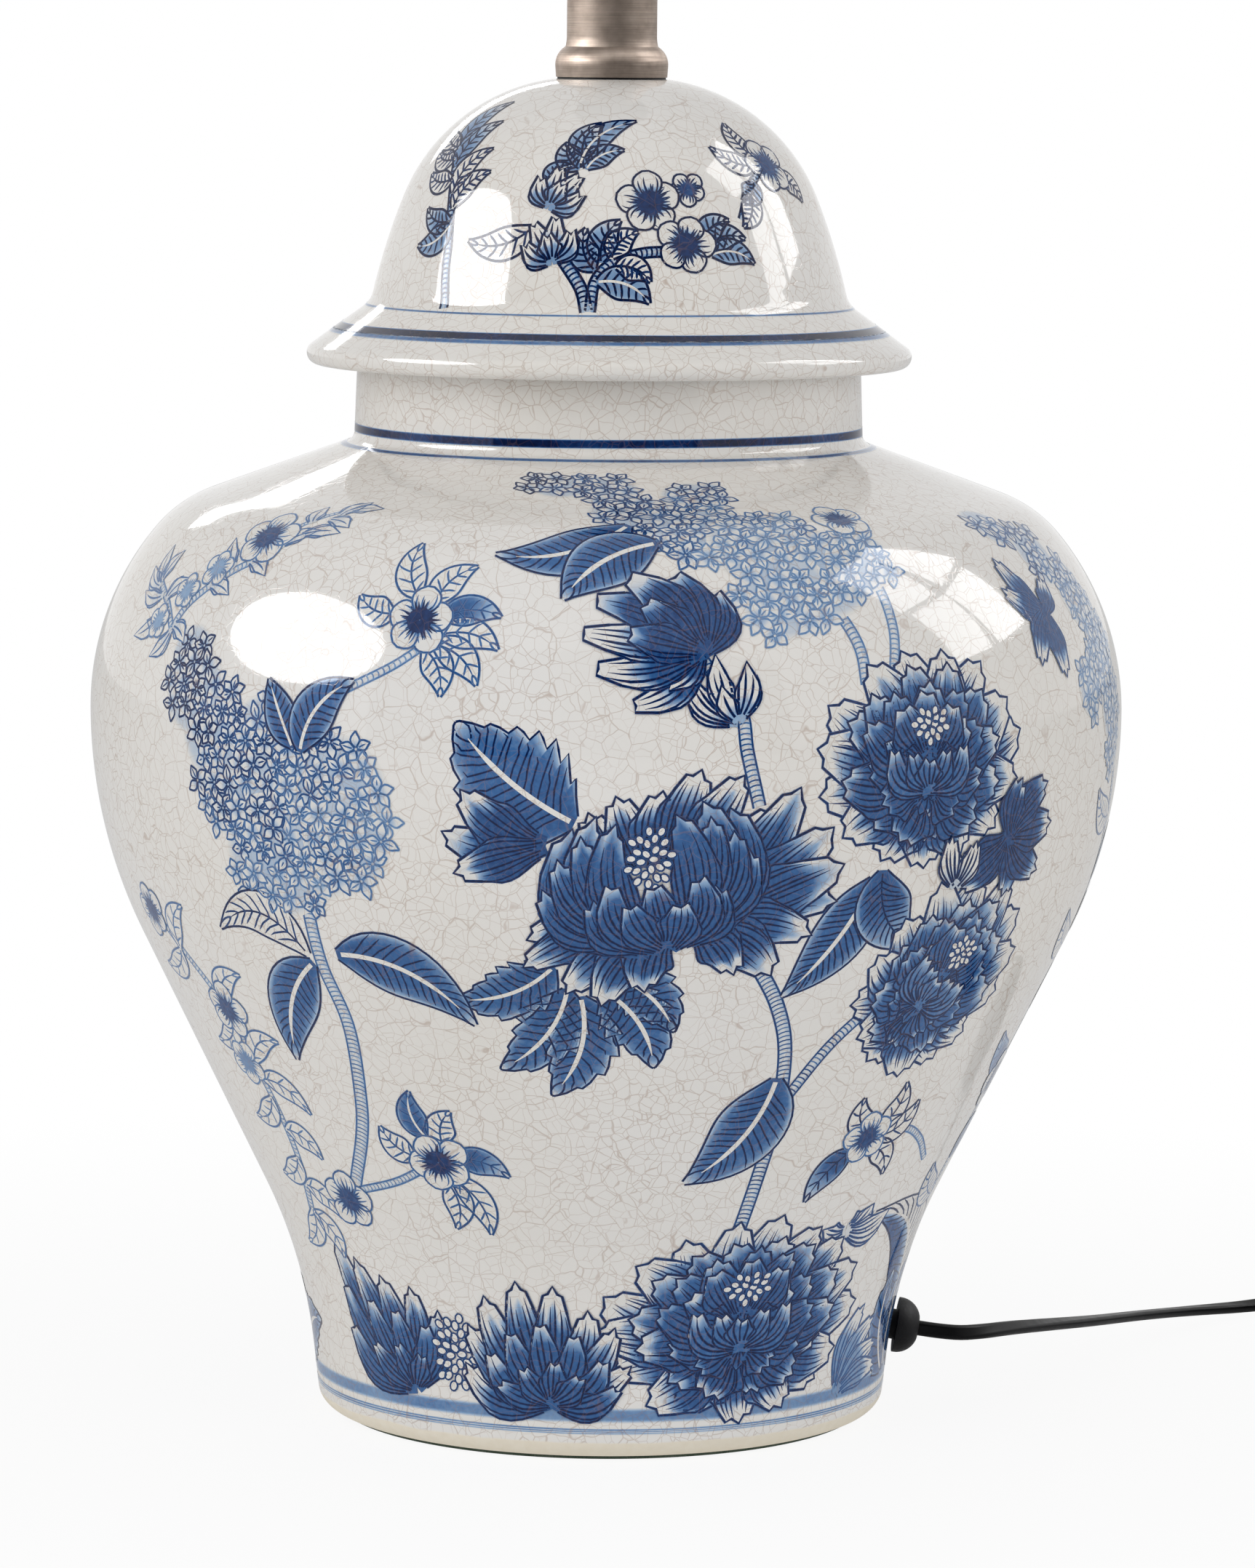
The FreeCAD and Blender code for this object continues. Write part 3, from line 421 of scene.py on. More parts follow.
def bow(start, end, bend, count):
    """A curve between two points, bowed to its left by a share of its length."""
    start, end = np.asarray(start, float), np.asarray(end, float)
    way = end - start
    middle = (start + end) / 2 + 2 * bend * np.array([-way[1], way[0]])
    t = np.linspace(0, 1, count)[:, None]
    return (1 - t) ** 2 * start + 2 * t * (1 - t) * middle + t ** 2 * end


def smooth(points, step=1.0):
    """A rounded curve through points, with stations about a step apart."""
    points = np.asarray(points, float)
    padded = np.concatenate([[2 * points[0] - points[1]], points, [2 * points[-1] - points[-2]]])
    curve = []
    for a, b, c, d in zip(padded, padded[1:], padded[2:], padded[3:]):
        t = np.linspace(0, 1, max(2, round(np.hypot(*(c - b)) / step)), endpoint=False)[:, None]
        curve.append(0.5 * (2 * b + (c - a) * t + (2 * a - 5 * b + 4 * c - d) * t ** 2
                            + (3 * b - a - 3 * c + d) * t ** 3))
    return np.concatenate(curve + [points[-1:]])


def ease(value, low, high):
    """0 below a range, 1 above it, and a smooth rise between."""
    share = np.clip((value - low) / (high - low), 0, 1)
    return share * share * (3 - 2 * share)


def blade(start, end, width, bend, roundness, tip_weight, count, teeth=0, tooth=0.0):
    """Middle line, side vectors and half widths of a leaf or petal."""
    if teeth:
        cycle = np.array([0.0, 0.5, 0.93])
        u = np.concatenate([(k + cycle) / teeth for k in range(teeth)] + [[1.0]])
    else:
        u = np.linspace(0, 1, count)
    half = width / 2 * np.sin(np.pi * np.clip(u, 0.015, 0.985) ** tip_weight) ** roundness
    if teeth:
        half = half * (1 + tooth * (u * teeth % 1.0)) * np.where(u > 0.999, 0.02, 1.0)
    fine = bow(start, end, bend, 101)
    middle = np.stack([np.interp(u, np.linspace(0, 1, 101), fine[:, k]) for k in (0, 1)], -1)
    side = np.stack([np.interp(u, np.linspace(0, 1, 101), sideways(fine)[:, k]) for k in (0, 1)], -1)
    return u, middle, side, half


def across(middle, side, half, shares):
    """Grid of points over a blade, from its right edge (-1) to its left (1)."""
    return middle[:, None] + side[:, None] * (half[:, None] * shares)[..., None]


def petal(brush, start, end, width, bend, ink, base_ink, hatches, edge, line_ink, roundness,
          tip_weight, count):
    """A small petal, inked more at its base, with lengthwise hatching."""
    u, middle, side, half = blade(start, end, width, bend, roundness, tip_weight, count)
    shares = np.linspace(-1, 1, 5)
    body = across(middle, side, half, shares)
    fade = 1 + (base_ink / ink - 1) * (1 - ease(u, 0.1, 0.6))
    brush.lay(body, np.repeat((ink * fade)[:, None], 5, 1))
    brush.level += 1
    rim = np.concatenate([body[:, 0], body[::-1, -1]])
    brush.line(rim, edge, line_ink)
    for share in (np.linspace(-0.72, 0.72, hatches) if hatches > 1 else [0.0] * hatches):
        first, last = rng.uniform(0.02, 0.2), rng.uniform(0.6, 0.88)
        inner = (u >= first) & (u <= last)
        if inner.sum() > 2:
            stroke = across(middle, side, half, np.array([share * rng.uniform(0.85, 1.0)]))[inner, 0]
            brush.line(stroke, edge * 0.8, line_ink * 0.95, thin_end=0.25)
    brush.level += 1


def leaf(brush, start, end, width, bend=0.12, style="dark", teeth=0, veins=8, line_ink=1.0, edge=0.54,
         wash=1.0):
    """A leaf with side veins. Styles: dark, pale, half and wash."""
    u, middle, side, half = blade(start, end, width, bend, 0.85, 0.78, 17, teeth, 0.3)
    shares = np.array([-1, -0.8, -0.45, 0, 0.45, 0.8, 1])
    body = across(middle, side, half, shares)
    across_share = np.broadcast_to(shares, body.shape[:2])
    along_share = np.broadcast_to(u[:, None], body.shape[:2])
    soft_edge = 1 - ease(np.abs(across_share), 0.72, 1.0)
    if style == "dark":
        ink = 0.05 + (0.54 - 0.12 * along_share) * soft_edge * (1 - ease(along_share, 0.86, 1.0))
    elif style == "half":
        ink = np.where(across_share > 0.05, 0.62, 0.04) * (1 - ease(along_share, 0.85, 1.0))
    elif style == "wash":
        ink = 0.1 + 0.5 * (1 - ease(along_share, 0.3, 1.0)) * soft_edge
    else:
        ink = np.full(body.shape[:2], 0.03)
    brush.lay(body, ink * wash)
    brush.level += 1
    brush.line(body[:, 0], edge, line_ink)
    brush.line(body[:, -1], edge, line_ink)
    stations = np.linspace(0, 1, 101)
    fine = bow(start, end, bend, 101)
    fine_side = sideways(fine)
    width_at = np.interp(stations, u, half)
    for k in range(veins):
        root = 0.10 + 0.74 * k / max(1, veins - 1)
        for hand in (-1, 1):
            t = np.linspace(0, 1, 5)
            reach_out = root + 0.13 * t
            index = np.clip((reach_out * 100).astype(int), 0, 100)
            half_vein = hand * t * width_at[index] * rng.uniform(0.72, 0.95)
            stroke = fine[index] + fine_side[index] * half_vein[:, None]
            brush.line(stroke, edge * 0.9, line_ink * (1.0 if style != "pale" else 0.85), thin_end=0.3)
    rib = fine[3:92:6]
    if style in ("dark", "half"):
        brush.level += 1
        brush.line(rib, min(1.1, width * 0.06), 0.02, thin_end=0.15)
    else:
        brush.line(rib, edge * 0.9, line_ink, thin_end=0.3)
    brush.level += 1


def stem(brush, spots, width=3.0, rungs=1.35, ink=0.12, line_ink=0.8, edge=0.48):
    """A jointed stem through (azimuth, height) spots: two edges and rungs like a ladder."""
    path = smooth([brush.spot(*spot) for spot in spots], 1.1)
    side = sideways(path)
    shares = np.array([-1, 0, 1]) * width / 2
    body = path[:, None] + side[:, None] * shares[None, :, None]
    brush.lay(body, np.broadcast_to([ink * 1.6, ink * 0.5, ink], body.shape[:2]))
    brush.level += 1
    brush.line(body[:, 0], edge, line_ink)
    brush.line(body[:, 2], edge, line_ink)
    length = np.concatenate([[0], np.cumsum(np.hypot(*np.diff(path, axis=0).T))])
    for at in np.arange(rungs, length[-1], rungs):
        centre = np.array([np.interp(at, length, path[:, k]) for k in (0, 1)])
        square = np.array([np.interp(at, length, side[:, k]) for k in (0, 1)])
        lean = np.array([square[1], -square[0]]) * 0.35
        t = np.linspace(-0.9, 0.9, 4)[:, None]
        rung = centre + square * t * width / 2 + lean * (1 - t * t)
        brush.line(rung, edge * 0.75, line_ink * rng.uniform(0.6, 1.0))
    brush.level += 1


def oval(brush, centre, width, height, turn, ink, edge=0.4, line_ink=0.85):
    """A filled oval with an outline, such as a seed."""
    angle = np.linspace(0, 2 * math.pi, 11)
    circle = np.stack([np.cos(angle) * width / 2, np.sin(angle) * height / 2], -1)
    spin = np.array([[math.cos(turn), -math.sin(turn)], [math.sin(turn), math.cos(turn)]])
    circle = circle @ spin.T
    shares = np.array([0.05, 0.6, 1.0])[:, None, None]
    brush.lay(np.asarray(centre) + circle[None] * shares, ink)
    if edge:
        brush.level += 1
        brush.line(np.asarray(centre) + circle, edge, line_ink)
        brush.level -= 1


def fan(brush, start, end, width, bend, ink=0.55, teeth=3, pale=0.8, edge=0.56, line_ink=1.0):
    """A broad hatched petal or leaflet with a toothed tip, left pale from a share of its length."""
    bite, root = 1.6, 0.4
    v = np.linspace(-1, 1, 2 * teeth + 1)
    valley = np.arange(len(v)) % 2 == 0
    reach_out = 1 - 0.2 * v ** 2 - np.where(valley, bite / math.dist(start, end), 0.0)
    fine = bow(start, end, bend, 101)
    sides = sideways(fine)
    stations = np.linspace(0, 1, 101)

    def body(u, v, limit):
        at = u * limit
        half = width / 2 * (root + (1 - root) * ease(u, 0, 0.65)) * (1 - 0.3 * ease(u, 0.7, 1.0))
        middle, side = (np.stack([np.interp(at, stations, row) for row in rows.T], -1)
                        for rows in (fine, sides))
        return middle + side * half[..., None] * v[..., None]

    u = np.linspace(0, 1, 9)
    grid = body(u[:, None] + 0 * v, v + 0 * u[:, None], reach_out)
    ragged = u[:, None] + rng.uniform(-0.07, 0.07, len(v))
    brush.lay(grid, 0.04 + ink * (1 - ease(ragged, pale - 0.1, pale + 0.08)))
    brush.level += 1
    brush.line(grid[1:, 0], edge, line_ink)
    brush.line(grid[1:, -1], edge, line_ink)
    brush.line(grid[-1], edge * 1.2, line_ink)
    count = max(2, round(width / 1.75))
    for share in np.linspace(-0.8, 0.8, count):
        u = np.linspace(rng.uniform(0.02, 0.15), rng.uniform(0.78, 0.97), 8)
        stroke = body(u, share + rng.uniform(-0.06, 0.06) + 0 * u, 1 - 0.2 * share ** 2 - 0.04)
        brush.line(stroke, edge * rng.uniform(0.85, 1.25), line_ink, thin_end=0.15)
    brush.level += 1


def fans(brush, heart, tips, **rest):
    """Several fans out of one heart, each as (right, up, width, bend)."""
    for right, up, width, bend in tips:
        fan(brush, heart, (right, up), width, bend, **rest)


def seeds(brush, centre, width, height, count, size):
    """A cluster of small pale ovals, each with an outline."""
    for k in range(count):
        out, angle = math.sqrt((k + 0.5) / count), k * 2.39996
        spot = np.array(centre) + out * np.array([math.cos(angle) * width, math.sin(angle) * height]) / 2
        oval(brush, spot, size, size * 0.75, angle, 0.03)
    brush.level += 2


def ring(brush, heart, centre, radii, count, share, width, turn, **rest):
    """Fans from a heart out to an oval, the even ones over the odd ones."""
    for parity in (0, 1):
        level = brush.level
        for k in range(parity, count, 2):
            angle = math.radians(turn + 360 * k / count) + rng.uniform(-0.06, 0.06)
            end = np.array(centre) + share * rng.uniform(0.94, 1.06) * (heading(angle) * radii)
            start = np.array(heart) + 0.22 * (end - np.array(heart))
            brush.level = level
            wide, bend = width * rng.uniform(0.92, 1.1), rng.uniform(-0.08, 0.08)
            fan(brush, start, end, wide, bend, **rest)


def peony(brush, width, height, ink, count):
    """A round peony: rings of toothed petals, seeds, and a bowl of petals under them."""
    x, y = width / 2, height / 2
    heart = (0.0, -0.3 * y)
    wide = math.pi * (x + y) / count

    def row(heart, centre, number, *shape, **rest):
        ring(brush, heart, centre, (x, y), number, *shape, ink=ink, **rest)

    row(heart, (0, 0), count, 1.0, wide * 1.3, -90, pale=0.73, line_ink=0.92)
    row(heart, (0, 0), count - 3, 0.80, wide * 1.25, -80, pale=0.9)
    row(heart, (0, 0.05 * y), count - 5, 0.62, wide * 1.1, -95, pale=0.95)
    row((0, -0.15 * y), (0, 0.14 * y), 9, 0.42, wide, -70, pale=0.9, teeth=2)
    seeds(brush, (0.02 * x, 0.26 * y), 0.34 * x, 0.32 * y, 18, 2.6)
    fans(brush, heart, [(-0.34 * x, 0.1 * y, 0.3 * y, 0.3), (0.34 * x, 0.1 * y, 0.3 * y, -0.3),
                        (-0.17 * x, 0.04 * y, 0.3 * y, 0.12), (0.17 * x, 0.05 * y, 0.3 * y, -0.12),
                        (0.0, -0.02 * y, 0.32 * y, 0.05)], ink=ink * 0.85, pale=0.88, teeth=2)


# The biggest flower, as fans of (start, end, width, bend): white-tipped petals behind, drooping and
# outspread petals, then the ball of petals that wraps its seeds.
BACK_PETALS = ((-4, 0, -15, 15, 13, 0.1), (-2, 0, -8, 19, 13, 0.0), (0, 0, 4, 20, 14, 0.0),
               (4, 0, 14, 25, 14, 0.0), (8, 0, 25, 23, 13, 0.0), (10, -8, 33, 14, 12, 0.0))
WING_PETALS = ((12, -14, 40, 19, 15, -0.05), (13, -14, 49, 8, 16, -0.05), (13, -16, 50, -12, 14, 0.08),
               (13, -16, 52, -2, 16, 0.0), (13, -17, 43, -21, 14, 0.1), (12, -17, 32, -32, 16, 0.12),
               (11, -17, 22, -31, 13, 0.12))
LOW_PETALS = ((-6, -14, -31, -19, 13, -0.05), (-6, -15, -32, -27, 12, -0.05),
              (2, -18, -21, -35, 13, -0.1), (3, -18, -12, -39, 14, -0.12), (5, -18, -1, -35, 14, -0.15))
BALL_PETALS = ((0, -22, -19, 11, 16, 0.30), (15, -19, 21, 15, 15, -0.17), (-6, -19, -27, -5, 12, 0.18),
               (16, -16, 26, 4, 12, -0.12), (1, -22, -13, 14, 14, 0.25), (12, -20, 14, 17, 15, -0.15),
               (-5, -18, -23, 3, 12, 0.15), (13, -16, 22, 9, 12, -0.12), (-3, -18, -17, 9, 11, 0.12),
               (10, -16, 16, 13, 11, -0.1), (3, -22, -8, 12, 13, 0.2), (9, -21, 7, 14, 13, -0.12),
               (-1, -21, -14, -8, 12, 0.2), (10, -20, 17, -5, 12, -0.2))
BOWL_PETALS = ((3, -22, -9, -3, 11, 0.24), (6, -21, 12, -2, 12, -0.24), (5, -22, 1, -4, 12, 0.0),
               (4, -22, -5, -9, 11, 0.12), (5, -22, 8, -9, 12, -0.1))


def great_peony(brush):
    """The biggest flower of the pattern."""
    def lay(petals, pale, teeth):
        for x0, y0, x1, y1, width, bend in petals:
            fan(brush, (x0, y0), (x1, y1), width, bend, 0.54, teeth, pale)

    lay(BACK_PETALS, 0.74, 3)
    lay(WING_PETALS, 0.84, 3)
    lay(LOW_PETALS, 0.8, 3)
    lay(BALL_PETALS, 0.96, 3)
    seeds(brush, (0.5, 2.5), 12, 17, 26, 2.6)
    lay(BOWL_PETALS, 0.92, 2)


def blossom(brush, radius, turn, line_ink=0.65, eye=0.85, base=0.45):
    """A small open flower: five round pale petals and a dark fuzzy eye."""
    for parity in (0, 1):
        level = brush.level
        for k in range(parity, 5, 2):
            angle = math.radians(turn + 72 * k) + rng.uniform(-0.1, 0.1)
            end = radius * rng.uniform(0.92, 1.08) * heading(angle)
            brush.level = level
            petal(brush, (0, 0), end, radius * 0.88, 0.0, 0.04, base, hatches=4, edge=0.5,
                  line_ink=line_ink, roundness=0.55, tip_weight=1.5, count=11)
    for k in range(24):
        angle = math.radians(15 * k) + rng.uniform(-0.1, 0.1)
        t = np.linspace(0.15, rng.uniform(0.48, 0.66), 3)[:, None]
        brush.line(heading(angle) * t * radius, radius * 0.07, eye, thin_end=0.2)
    brush.level += 1
    oval(brush, (0, 0), radius * 0.8, radius * 0.8, 0, eye * 0.8, 0)
    brush.level += 1


def hydrangea(brush, circles, pitch=6.8, line_ink=0.62):
    """A head of small pointed florets that fills circles given as (azimuth, height, radius)."""
    circles = [(*brush.spot(azimuth, height), radius) for azimuth, height, radius in circles]
    angle = np.linspace(0, 2 * math.pi, 25)
    way = np.stack([np.cos(angle), np.sin(angle)], -1)
    shares, washes = np.array([[0.05, 0.55, 0.85, 1.0], [0.17, 0.16, 0.12, 0.03]])
    for x, y, radius in circles:
        brush.lay(np.array([x, y]) + radius * shares[:, None, None] * way, washes[:, None])
        brush.level += 1
    left, right = min(x - r for x, y, r in circles), max(x + r for x, y, r in circles)
    low, high = min(y - r for x, y, r in circles), max(y + r for x, y, r in circles)
    start = brush.level
    for j in range(int((high - low) / pitch / 0.87) + 1):
        for i in range(int((right - left) / pitch) + 1):
            even = np.array([left + pitch * (i + 0.5 * (j % 2)), low + pitch * 0.87 * j])
            centre = even + rng.uniform(-1.3, 1.3, 2)
            turn, size = rng.uniform(0, 2 * math.pi), rng.uniform(0.85, 1.15)
            if all(math.dist(centre, (x, y)) > r for x, y, r in circles):
                continue
            dark = 0.005 * (centre[1] - centre[0])
            shade = min(1.0, max(0.45, line_ink + dark + rng.uniform(-0.12, 0.16)))
            brush.level = start + 3 * ((i + 2 * j) % 5)
            petals = int(rng.integers(4, 7))
            level = brush.level
            for k in range(petals):
                way = heading(turn + 2 * math.pi / petals * k + rng.uniform(-0.15, 0.15))
                brush.level = level
                tip = centre + way * pitch * 0.66 * size * rng.uniform(0.9, 1.1)
                petal(brush, centre + way * 0.4, tip, pitch * 0.40, 0.04, 0.05, 0.2, hatches=k % 2,
                      edge=0.48, line_ink=shade, roundness=1.15, tip_weight=0.9, count=7)


def band(piece, low, high, ink, soft=0.25, level=0):
    """A painted band round the piece between two heights."""
    bottom, top = piece.surface.length_at(low), piece.surface.length_at(high)
    stations = np.linspace(bottom - soft, top + soft, 5 + 2 * int((top - bottom) / 1.5))
    turn = np.linspace(0, 2 * math.pi, 361)
    rise, fall = ease(stations, bottom - soft, bottom + soft), ease(stations, top - soft, top + soft)
    shade = ink * rise * (1 - fall)
    wobble = 1 + 0.08 * np.sin(turn * 7 + low) + 0.06 * np.sin(turn * 17)
    grid_turn, grid_length = np.meshgrid(turn, stations)
    drift = 0.12 * np.sin(turn * 3 + high)
    piece.grid(grid_turn, grid_length + drift, level, shade[:, None] * wobble)


# ------------------------------------------------------------------------- the jar's form

foot_start = (FOOT_RADIUS - reach(FOOT_EDGE_RADIUS, 90, FOOT_LEAN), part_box("jar_body")[0].z / MM)
flank_reach = (BELLY_RADIUS - FOOT_RADIUS - FOOT_RUN * sind(FOOT_LEAN)
               - reach(FLARE_RADIUS, FOOT_LEAN, FLANK_LEAN) - reach(LOWER_BELLY_RADIUS, FLANK_LEAN, 0))
slope_reach = (BELLY_RADIUS - reach(UPPER_BELLY_RADIUS, 0, UPPER_BELLY_LEAN)
               - reach(SHOULDER_RADIUS, UPPER_BELLY_LEAN, SHOULDER_LEAN)
               - NECK_RADIUS - reach(NECK_FILLET, SHOULDER_LEAN, NECK_LEAN))
jar_rows = walk(foot_start, 90.0, [
    ("bend", FOOT_EDGE_RADIUS, FOOT_LEAN),
    ("run", FOOT_RUN),
    ("bend", FLARE_RADIUS, FLANK_LEAN),
    ("run", flank_reach / sind(FLANK_LEAN)),
    ("bend", LOWER_BELLY_RADIUS, 0.0),
    ("bend", UPPER_BELLY_RADIUS, -UPPER_BELLY_LEAN),
    ("bend", SHOULDER_RADIUS, -SHOULDER_LEAN),
    ("run", slope_reach / sind(SHOULDER_LEAN)),
    ("bend", NECK_FILLET, -NECK_LEAN),
    ("run", NECK_RUN),
])
jar_surface = Surface(jar_rows)

lid_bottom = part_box("jar_lid")[0].z / MM
rim_reach = (LID_RIM_RADIUS - reach(LID_ROLL, 0, LID_FLARE_LEAN) - LID_WAIST_RADIUS
             - reach(LID_FILLET, LID_FLARE_LEAN, LID_WAIST_LEAN))
rim_rows = walk((LID_RIM_RADIUS - LID_ROLL, lid_bottom), 90.0, [
    ("bend", LID_ROLL, -LID_FLARE_LEAN),
    ("run", rim_reach / sind(LID_FLARE_LEAN)),
    ("bend", LID_FILLET, -LID_WAIST_LEAN),
])
crown_start = rim_rows[-1][0] - reach(LID_SIDE_RADIUS, LID_WAIST_LEAN, LID_CROWN_LEAN)
crown_end = cosd(LID_CROWN_LEAN) - (crown_start - LID_SEAT_RADIUS) / LID_CROWN_RADIUS
dome_rows = walk(rim_rows[-1][:2], -LID_WAIST_LEAN, [
    ("bend", LID_SIDE_RADIUS, -LID_CROWN_LEAN),
    ("bend", LID_CROWN_RADIUS, -math.degrees(math.acos(crown_end))),
])
lid_rows = rim_rows + dome_rows[1:]
lid_surface = Surface(lid_rows)


def make_jar(material):
    """The jar with its floor, open at the foot and the neck."""
    lowest = jar_rows[0][1]
    upper, lower = (shrunk(jar_rows, wall)[::6][::-1] for wall in (JAR_WALL, FOOT_WALL))
    above_floor = [p for p in upper if p[1] > JAR_FLOOR_TOP]
    below_floor = [p for p in lower if lowest + FOOT_STEP < p[1] < JAR_FLOOR_BOTTOM]
    floor = [(above_floor[-1][0], JAR_FLOOR_TOP), (ROD_HOLE_RADIUS, JAR_FLOOR_TOP),
             (ROD_HOLE_RADIUS, JAR_FLOOR_BOTTOM), (below_floor[0][0], JAR_FLOOR_BOTTOM)]
    foot = [(below_floor[-1][0], lowest)]
    lathe("jar_glazed", jar_rows, above_floor + floor + below_floor + foot, material, "jar_body")


def make_lid(material):
    """The lid, hollow under its dome."""
    ceiling = shrunk(dome_rows, LID_WALL)[::-4]
    seat = lid_bottom + LID_SKIRT_HEIGHT
    inside = [(ROD_HOLE_RADIUS, lid_rows[-1][1]), (ROD_HOLE_RADIUS, ceiling[0][1])] + ceiling
    inside += [(ceiling[-1][0], seat), (LID_SKIRT_BORE, seat), (LID_SKIRT_BORE, lid_bottom)]
    lathe("lid_glazed", lid_rows, inside, material, "jar_lid")


# ------------------------------------------------------------------- the painted pattern


def paint_bands(material):
    """The plain painted bands round the jar and round the lid's rim."""
    piece = Paint("painted_bands", jar_surface)
    band(piece, 268.1, 270.1, 0.86)
    band(piece, 264.6, 265.1, 0.62, 0.3)
    band(piece, 11.4, 14.6, 0.38, 0.6)
    band(piece, 8.0, 9.3, 0.36, 0.3)
    band(piece, 9.05, 9.3, 0.66, 0.25, 1)
    band(piece, 8.0, 8.15, 0.6, 0.25, 1)
    piece.finish(material)
    piece = Paint("painted_lid_bands", lid_surface)
    band(piece, 302.1, 302.4, 0.68, 0.25)
    band(piece, 295.9, 297.6, 0.95, 0.2)
    band(piece, 295.1, 295.9, 0.5, 0.3)
    piece.finish(material)


glaze = glaze_material()
make_jar(glaze)
make_lid(glaze)
paint_bands(glaze)


def paint_body(half):
    """One half of the jar's pattern, which repeats on the far side."""
    far = 180.0 * half
    name = ("front", "back")[half]
    stems = Paint(f"painted_stems_{name}", jar_surface)
    middle = Paint(f"painted_middle_{name}", jar_surface)
    right = Paint(f"painted_right_{name}", jar_surface)
    foot = Paint(f"painted_foot_{name}", jar_surface)
    heads = Paint(f"painted_heads_{name}", jar_surface)

    def at(piece, azimuth, height, **rest):
        return Brush(piece, azimuth + far, height, **rest)

    def grow(spots, width, line_ink=0.8, **rest):
        brush = at(stems, *spots[0])
        spots = [(azimuth + far, height) for azimuth, height in spots]
        stem(brush, spots, width, line_ink=line_ink, **rest)

    def put_leaf(base, tip, width, level=14, piece=stems, **rest):
        brush = at(piece, *base, level=level)
        leaf(brush, (0, 0), brush.spot(tip[0] + far, tip[1]), width, **rest)

    def put_leaves(spots, width, bend, veins, line_ink):
        for base, tip, style in spots:
            put_leaf(base, tip, width, bend=bend, style=style, veins=veins, line_ink=line_ink)

    def spray(piece, azimuth, height, level, tips, **rest):
        fans(at(piece, azimuth, height, level=level), (0, 0), tips, **rest)

    # stems
    grow([(22.5, 58), (24.1, 80), (24.7, 98), (23.6, 116), (21.1, 129), (17.5, 141)], 3.6)
    grow([(25.4, 102), (30.2, 117), (36.3, 130), (41, 140)], 3.0)
    grow([(16.4, 182), (15.0, 196), (14.4, 206), (12.0, 214), (9.6, 222)], 3.2)
    grow([(28.9, 212), (28.6, 222), (26.0, 233), (21.0, 243)], 3.0, 0.5)
    grow([(32.5, 214), (33.6, 226), (33.0, 238), (30.0, 246)], 2.6, 0.45)
    grow([(-41.6, 74), (-37.0, 88), (-34.8, 100), (-33.2, 120), (-34.4, 137), (-34.5, 156)], 3.6, 0.6)
    grow([(-29.0, 209), (-23.3, 216), (-19.6, 222)], 2.0, 0.5, rungs=1.6, ink=0.1)
    grow([(-57.5, 218), (-55.4, 227), (-50, 236), (-45.0, 241)], 2.2, 0.5)
    grow([(-67, 147), (-61.5, 134), (-56.5, 120), (-55.0, 104), (-54.0, 90), (-54.5, 76), (-58, 60)],
         2.2, 0.5)
    grow([(-41, 72), (-33, 76), (-27, 81)], 2.0, 0.55)
    grow([(41.5, 88), (49.6, 89), (55.1, 85), (60, 78)], 2.0, 0.5)
    grow([(71, 38), (73.5, 60), (76, 82), (80.5, 112), (80.5, 150), (76.5, 192)], 2.6, 0.55)

    # leaves on the stems
    for base, tip, width, bend, style, veins in (
            ((23.4, 108), (12.4, 79), 21, 0.12, "dark", 13),
            ((-31.9, 140), (-15.4, 123), 18, 0.16, "dark", 12),
            ((-35.6, 137), (-44.3, 108), 17, -0.12, "dark", 11),
            ((-36.0, 139), (-49.7, 143), 13, -0.28, "pale", 9),
            ((40.1, 85), (33.8, 71), 9, -0.1, "wash", 5), ((42.0, 90), (38.8, 100), 8, 0.2, "pale", 4),
            ((43.0, 90), (46.0, 103), 8, -0.2, "pale", 4), ((44.0, 88), (50.5, 97), 8, -0.2, "pale", 4),
            ((43.0, 85), (49.0, 76), 8, 0.2, "pale", 4)):
        put_leaf(base, tip, width, bend=bend, style=style, veins=veins)
    put_leaves([(base, tip, "pale") for base, tip in (
        ((-61.9, 134), (-57, 147)), ((-62, 134), (-70, 128)), ((-56.5, 120), (-49.5, 130)),
        ((-56, 116), (-63, 109)), ((-55.0, 104), (-47, 112)), ((-54.6, 100), (-46, 92)),
        ((-54.5, 95), (-62, 88)), ((-54.2, 86), (-47.5, 79)), ((-54.5, 78), (-62, 72)),
        ((-55.5, 70), (-48.5, 62)), ((-57, 63), (-64, 52)), ((-57, 62), (-52, 50)))], 8, 0.18, 4, 0.6)
    put_leaves((((74, 64), (66, 75), "pale"), ((75, 74), (84, 83), "wash"),
                ((78.5, 101), (69, 111), "wash"), ((80.5, 114), (90, 124), "pale"),
                ((80.8, 132), (72, 144), "pale"), ((80.4, 150), (89, 162), "wash"),
                ((79, 168), (71, 177), "pale")), 10, 0.16, 6, 0.65)
    grow([(-56.5, 219), (-60, 226), (-64.5, 231)], 1.8, 0.5)
    grow([(-45, 246), (-42, 250), (-38.5, 252.5)], 1.4, 0.45)
    for azimuth, height, reach_x, reach_y in (
            (-57, 221, 8, -4), (-53, 232, 10, -2), (-44, 243, 9, 7), (-42, 246, 12, 2), (-42, 249, -2, 9),
            (-39, 251, 4, 9), (-38.5, 252, 9, 3), (-40, 250, 9, -3), (-59, 223, -11, -2),
            (-60, 225, -14, -9), (-62, 228, -13, 0), (-64, 230, -11, 5), (-64.5, 231, -6, 11),
            (-61, 227, 7, 7), (-57, 220, -8, -8), (-50, 237, -7, 9), (-48, 239, 9, -4),
            (-64.5, 231, 3, 10)):
        spray(stems, azimuth, height, 14, [(reach_x, reach_y, 5.5, 0.12)],
              ink=0.06, pale=0.5, teeth=1, edge=0.42, line_ink=0.6)

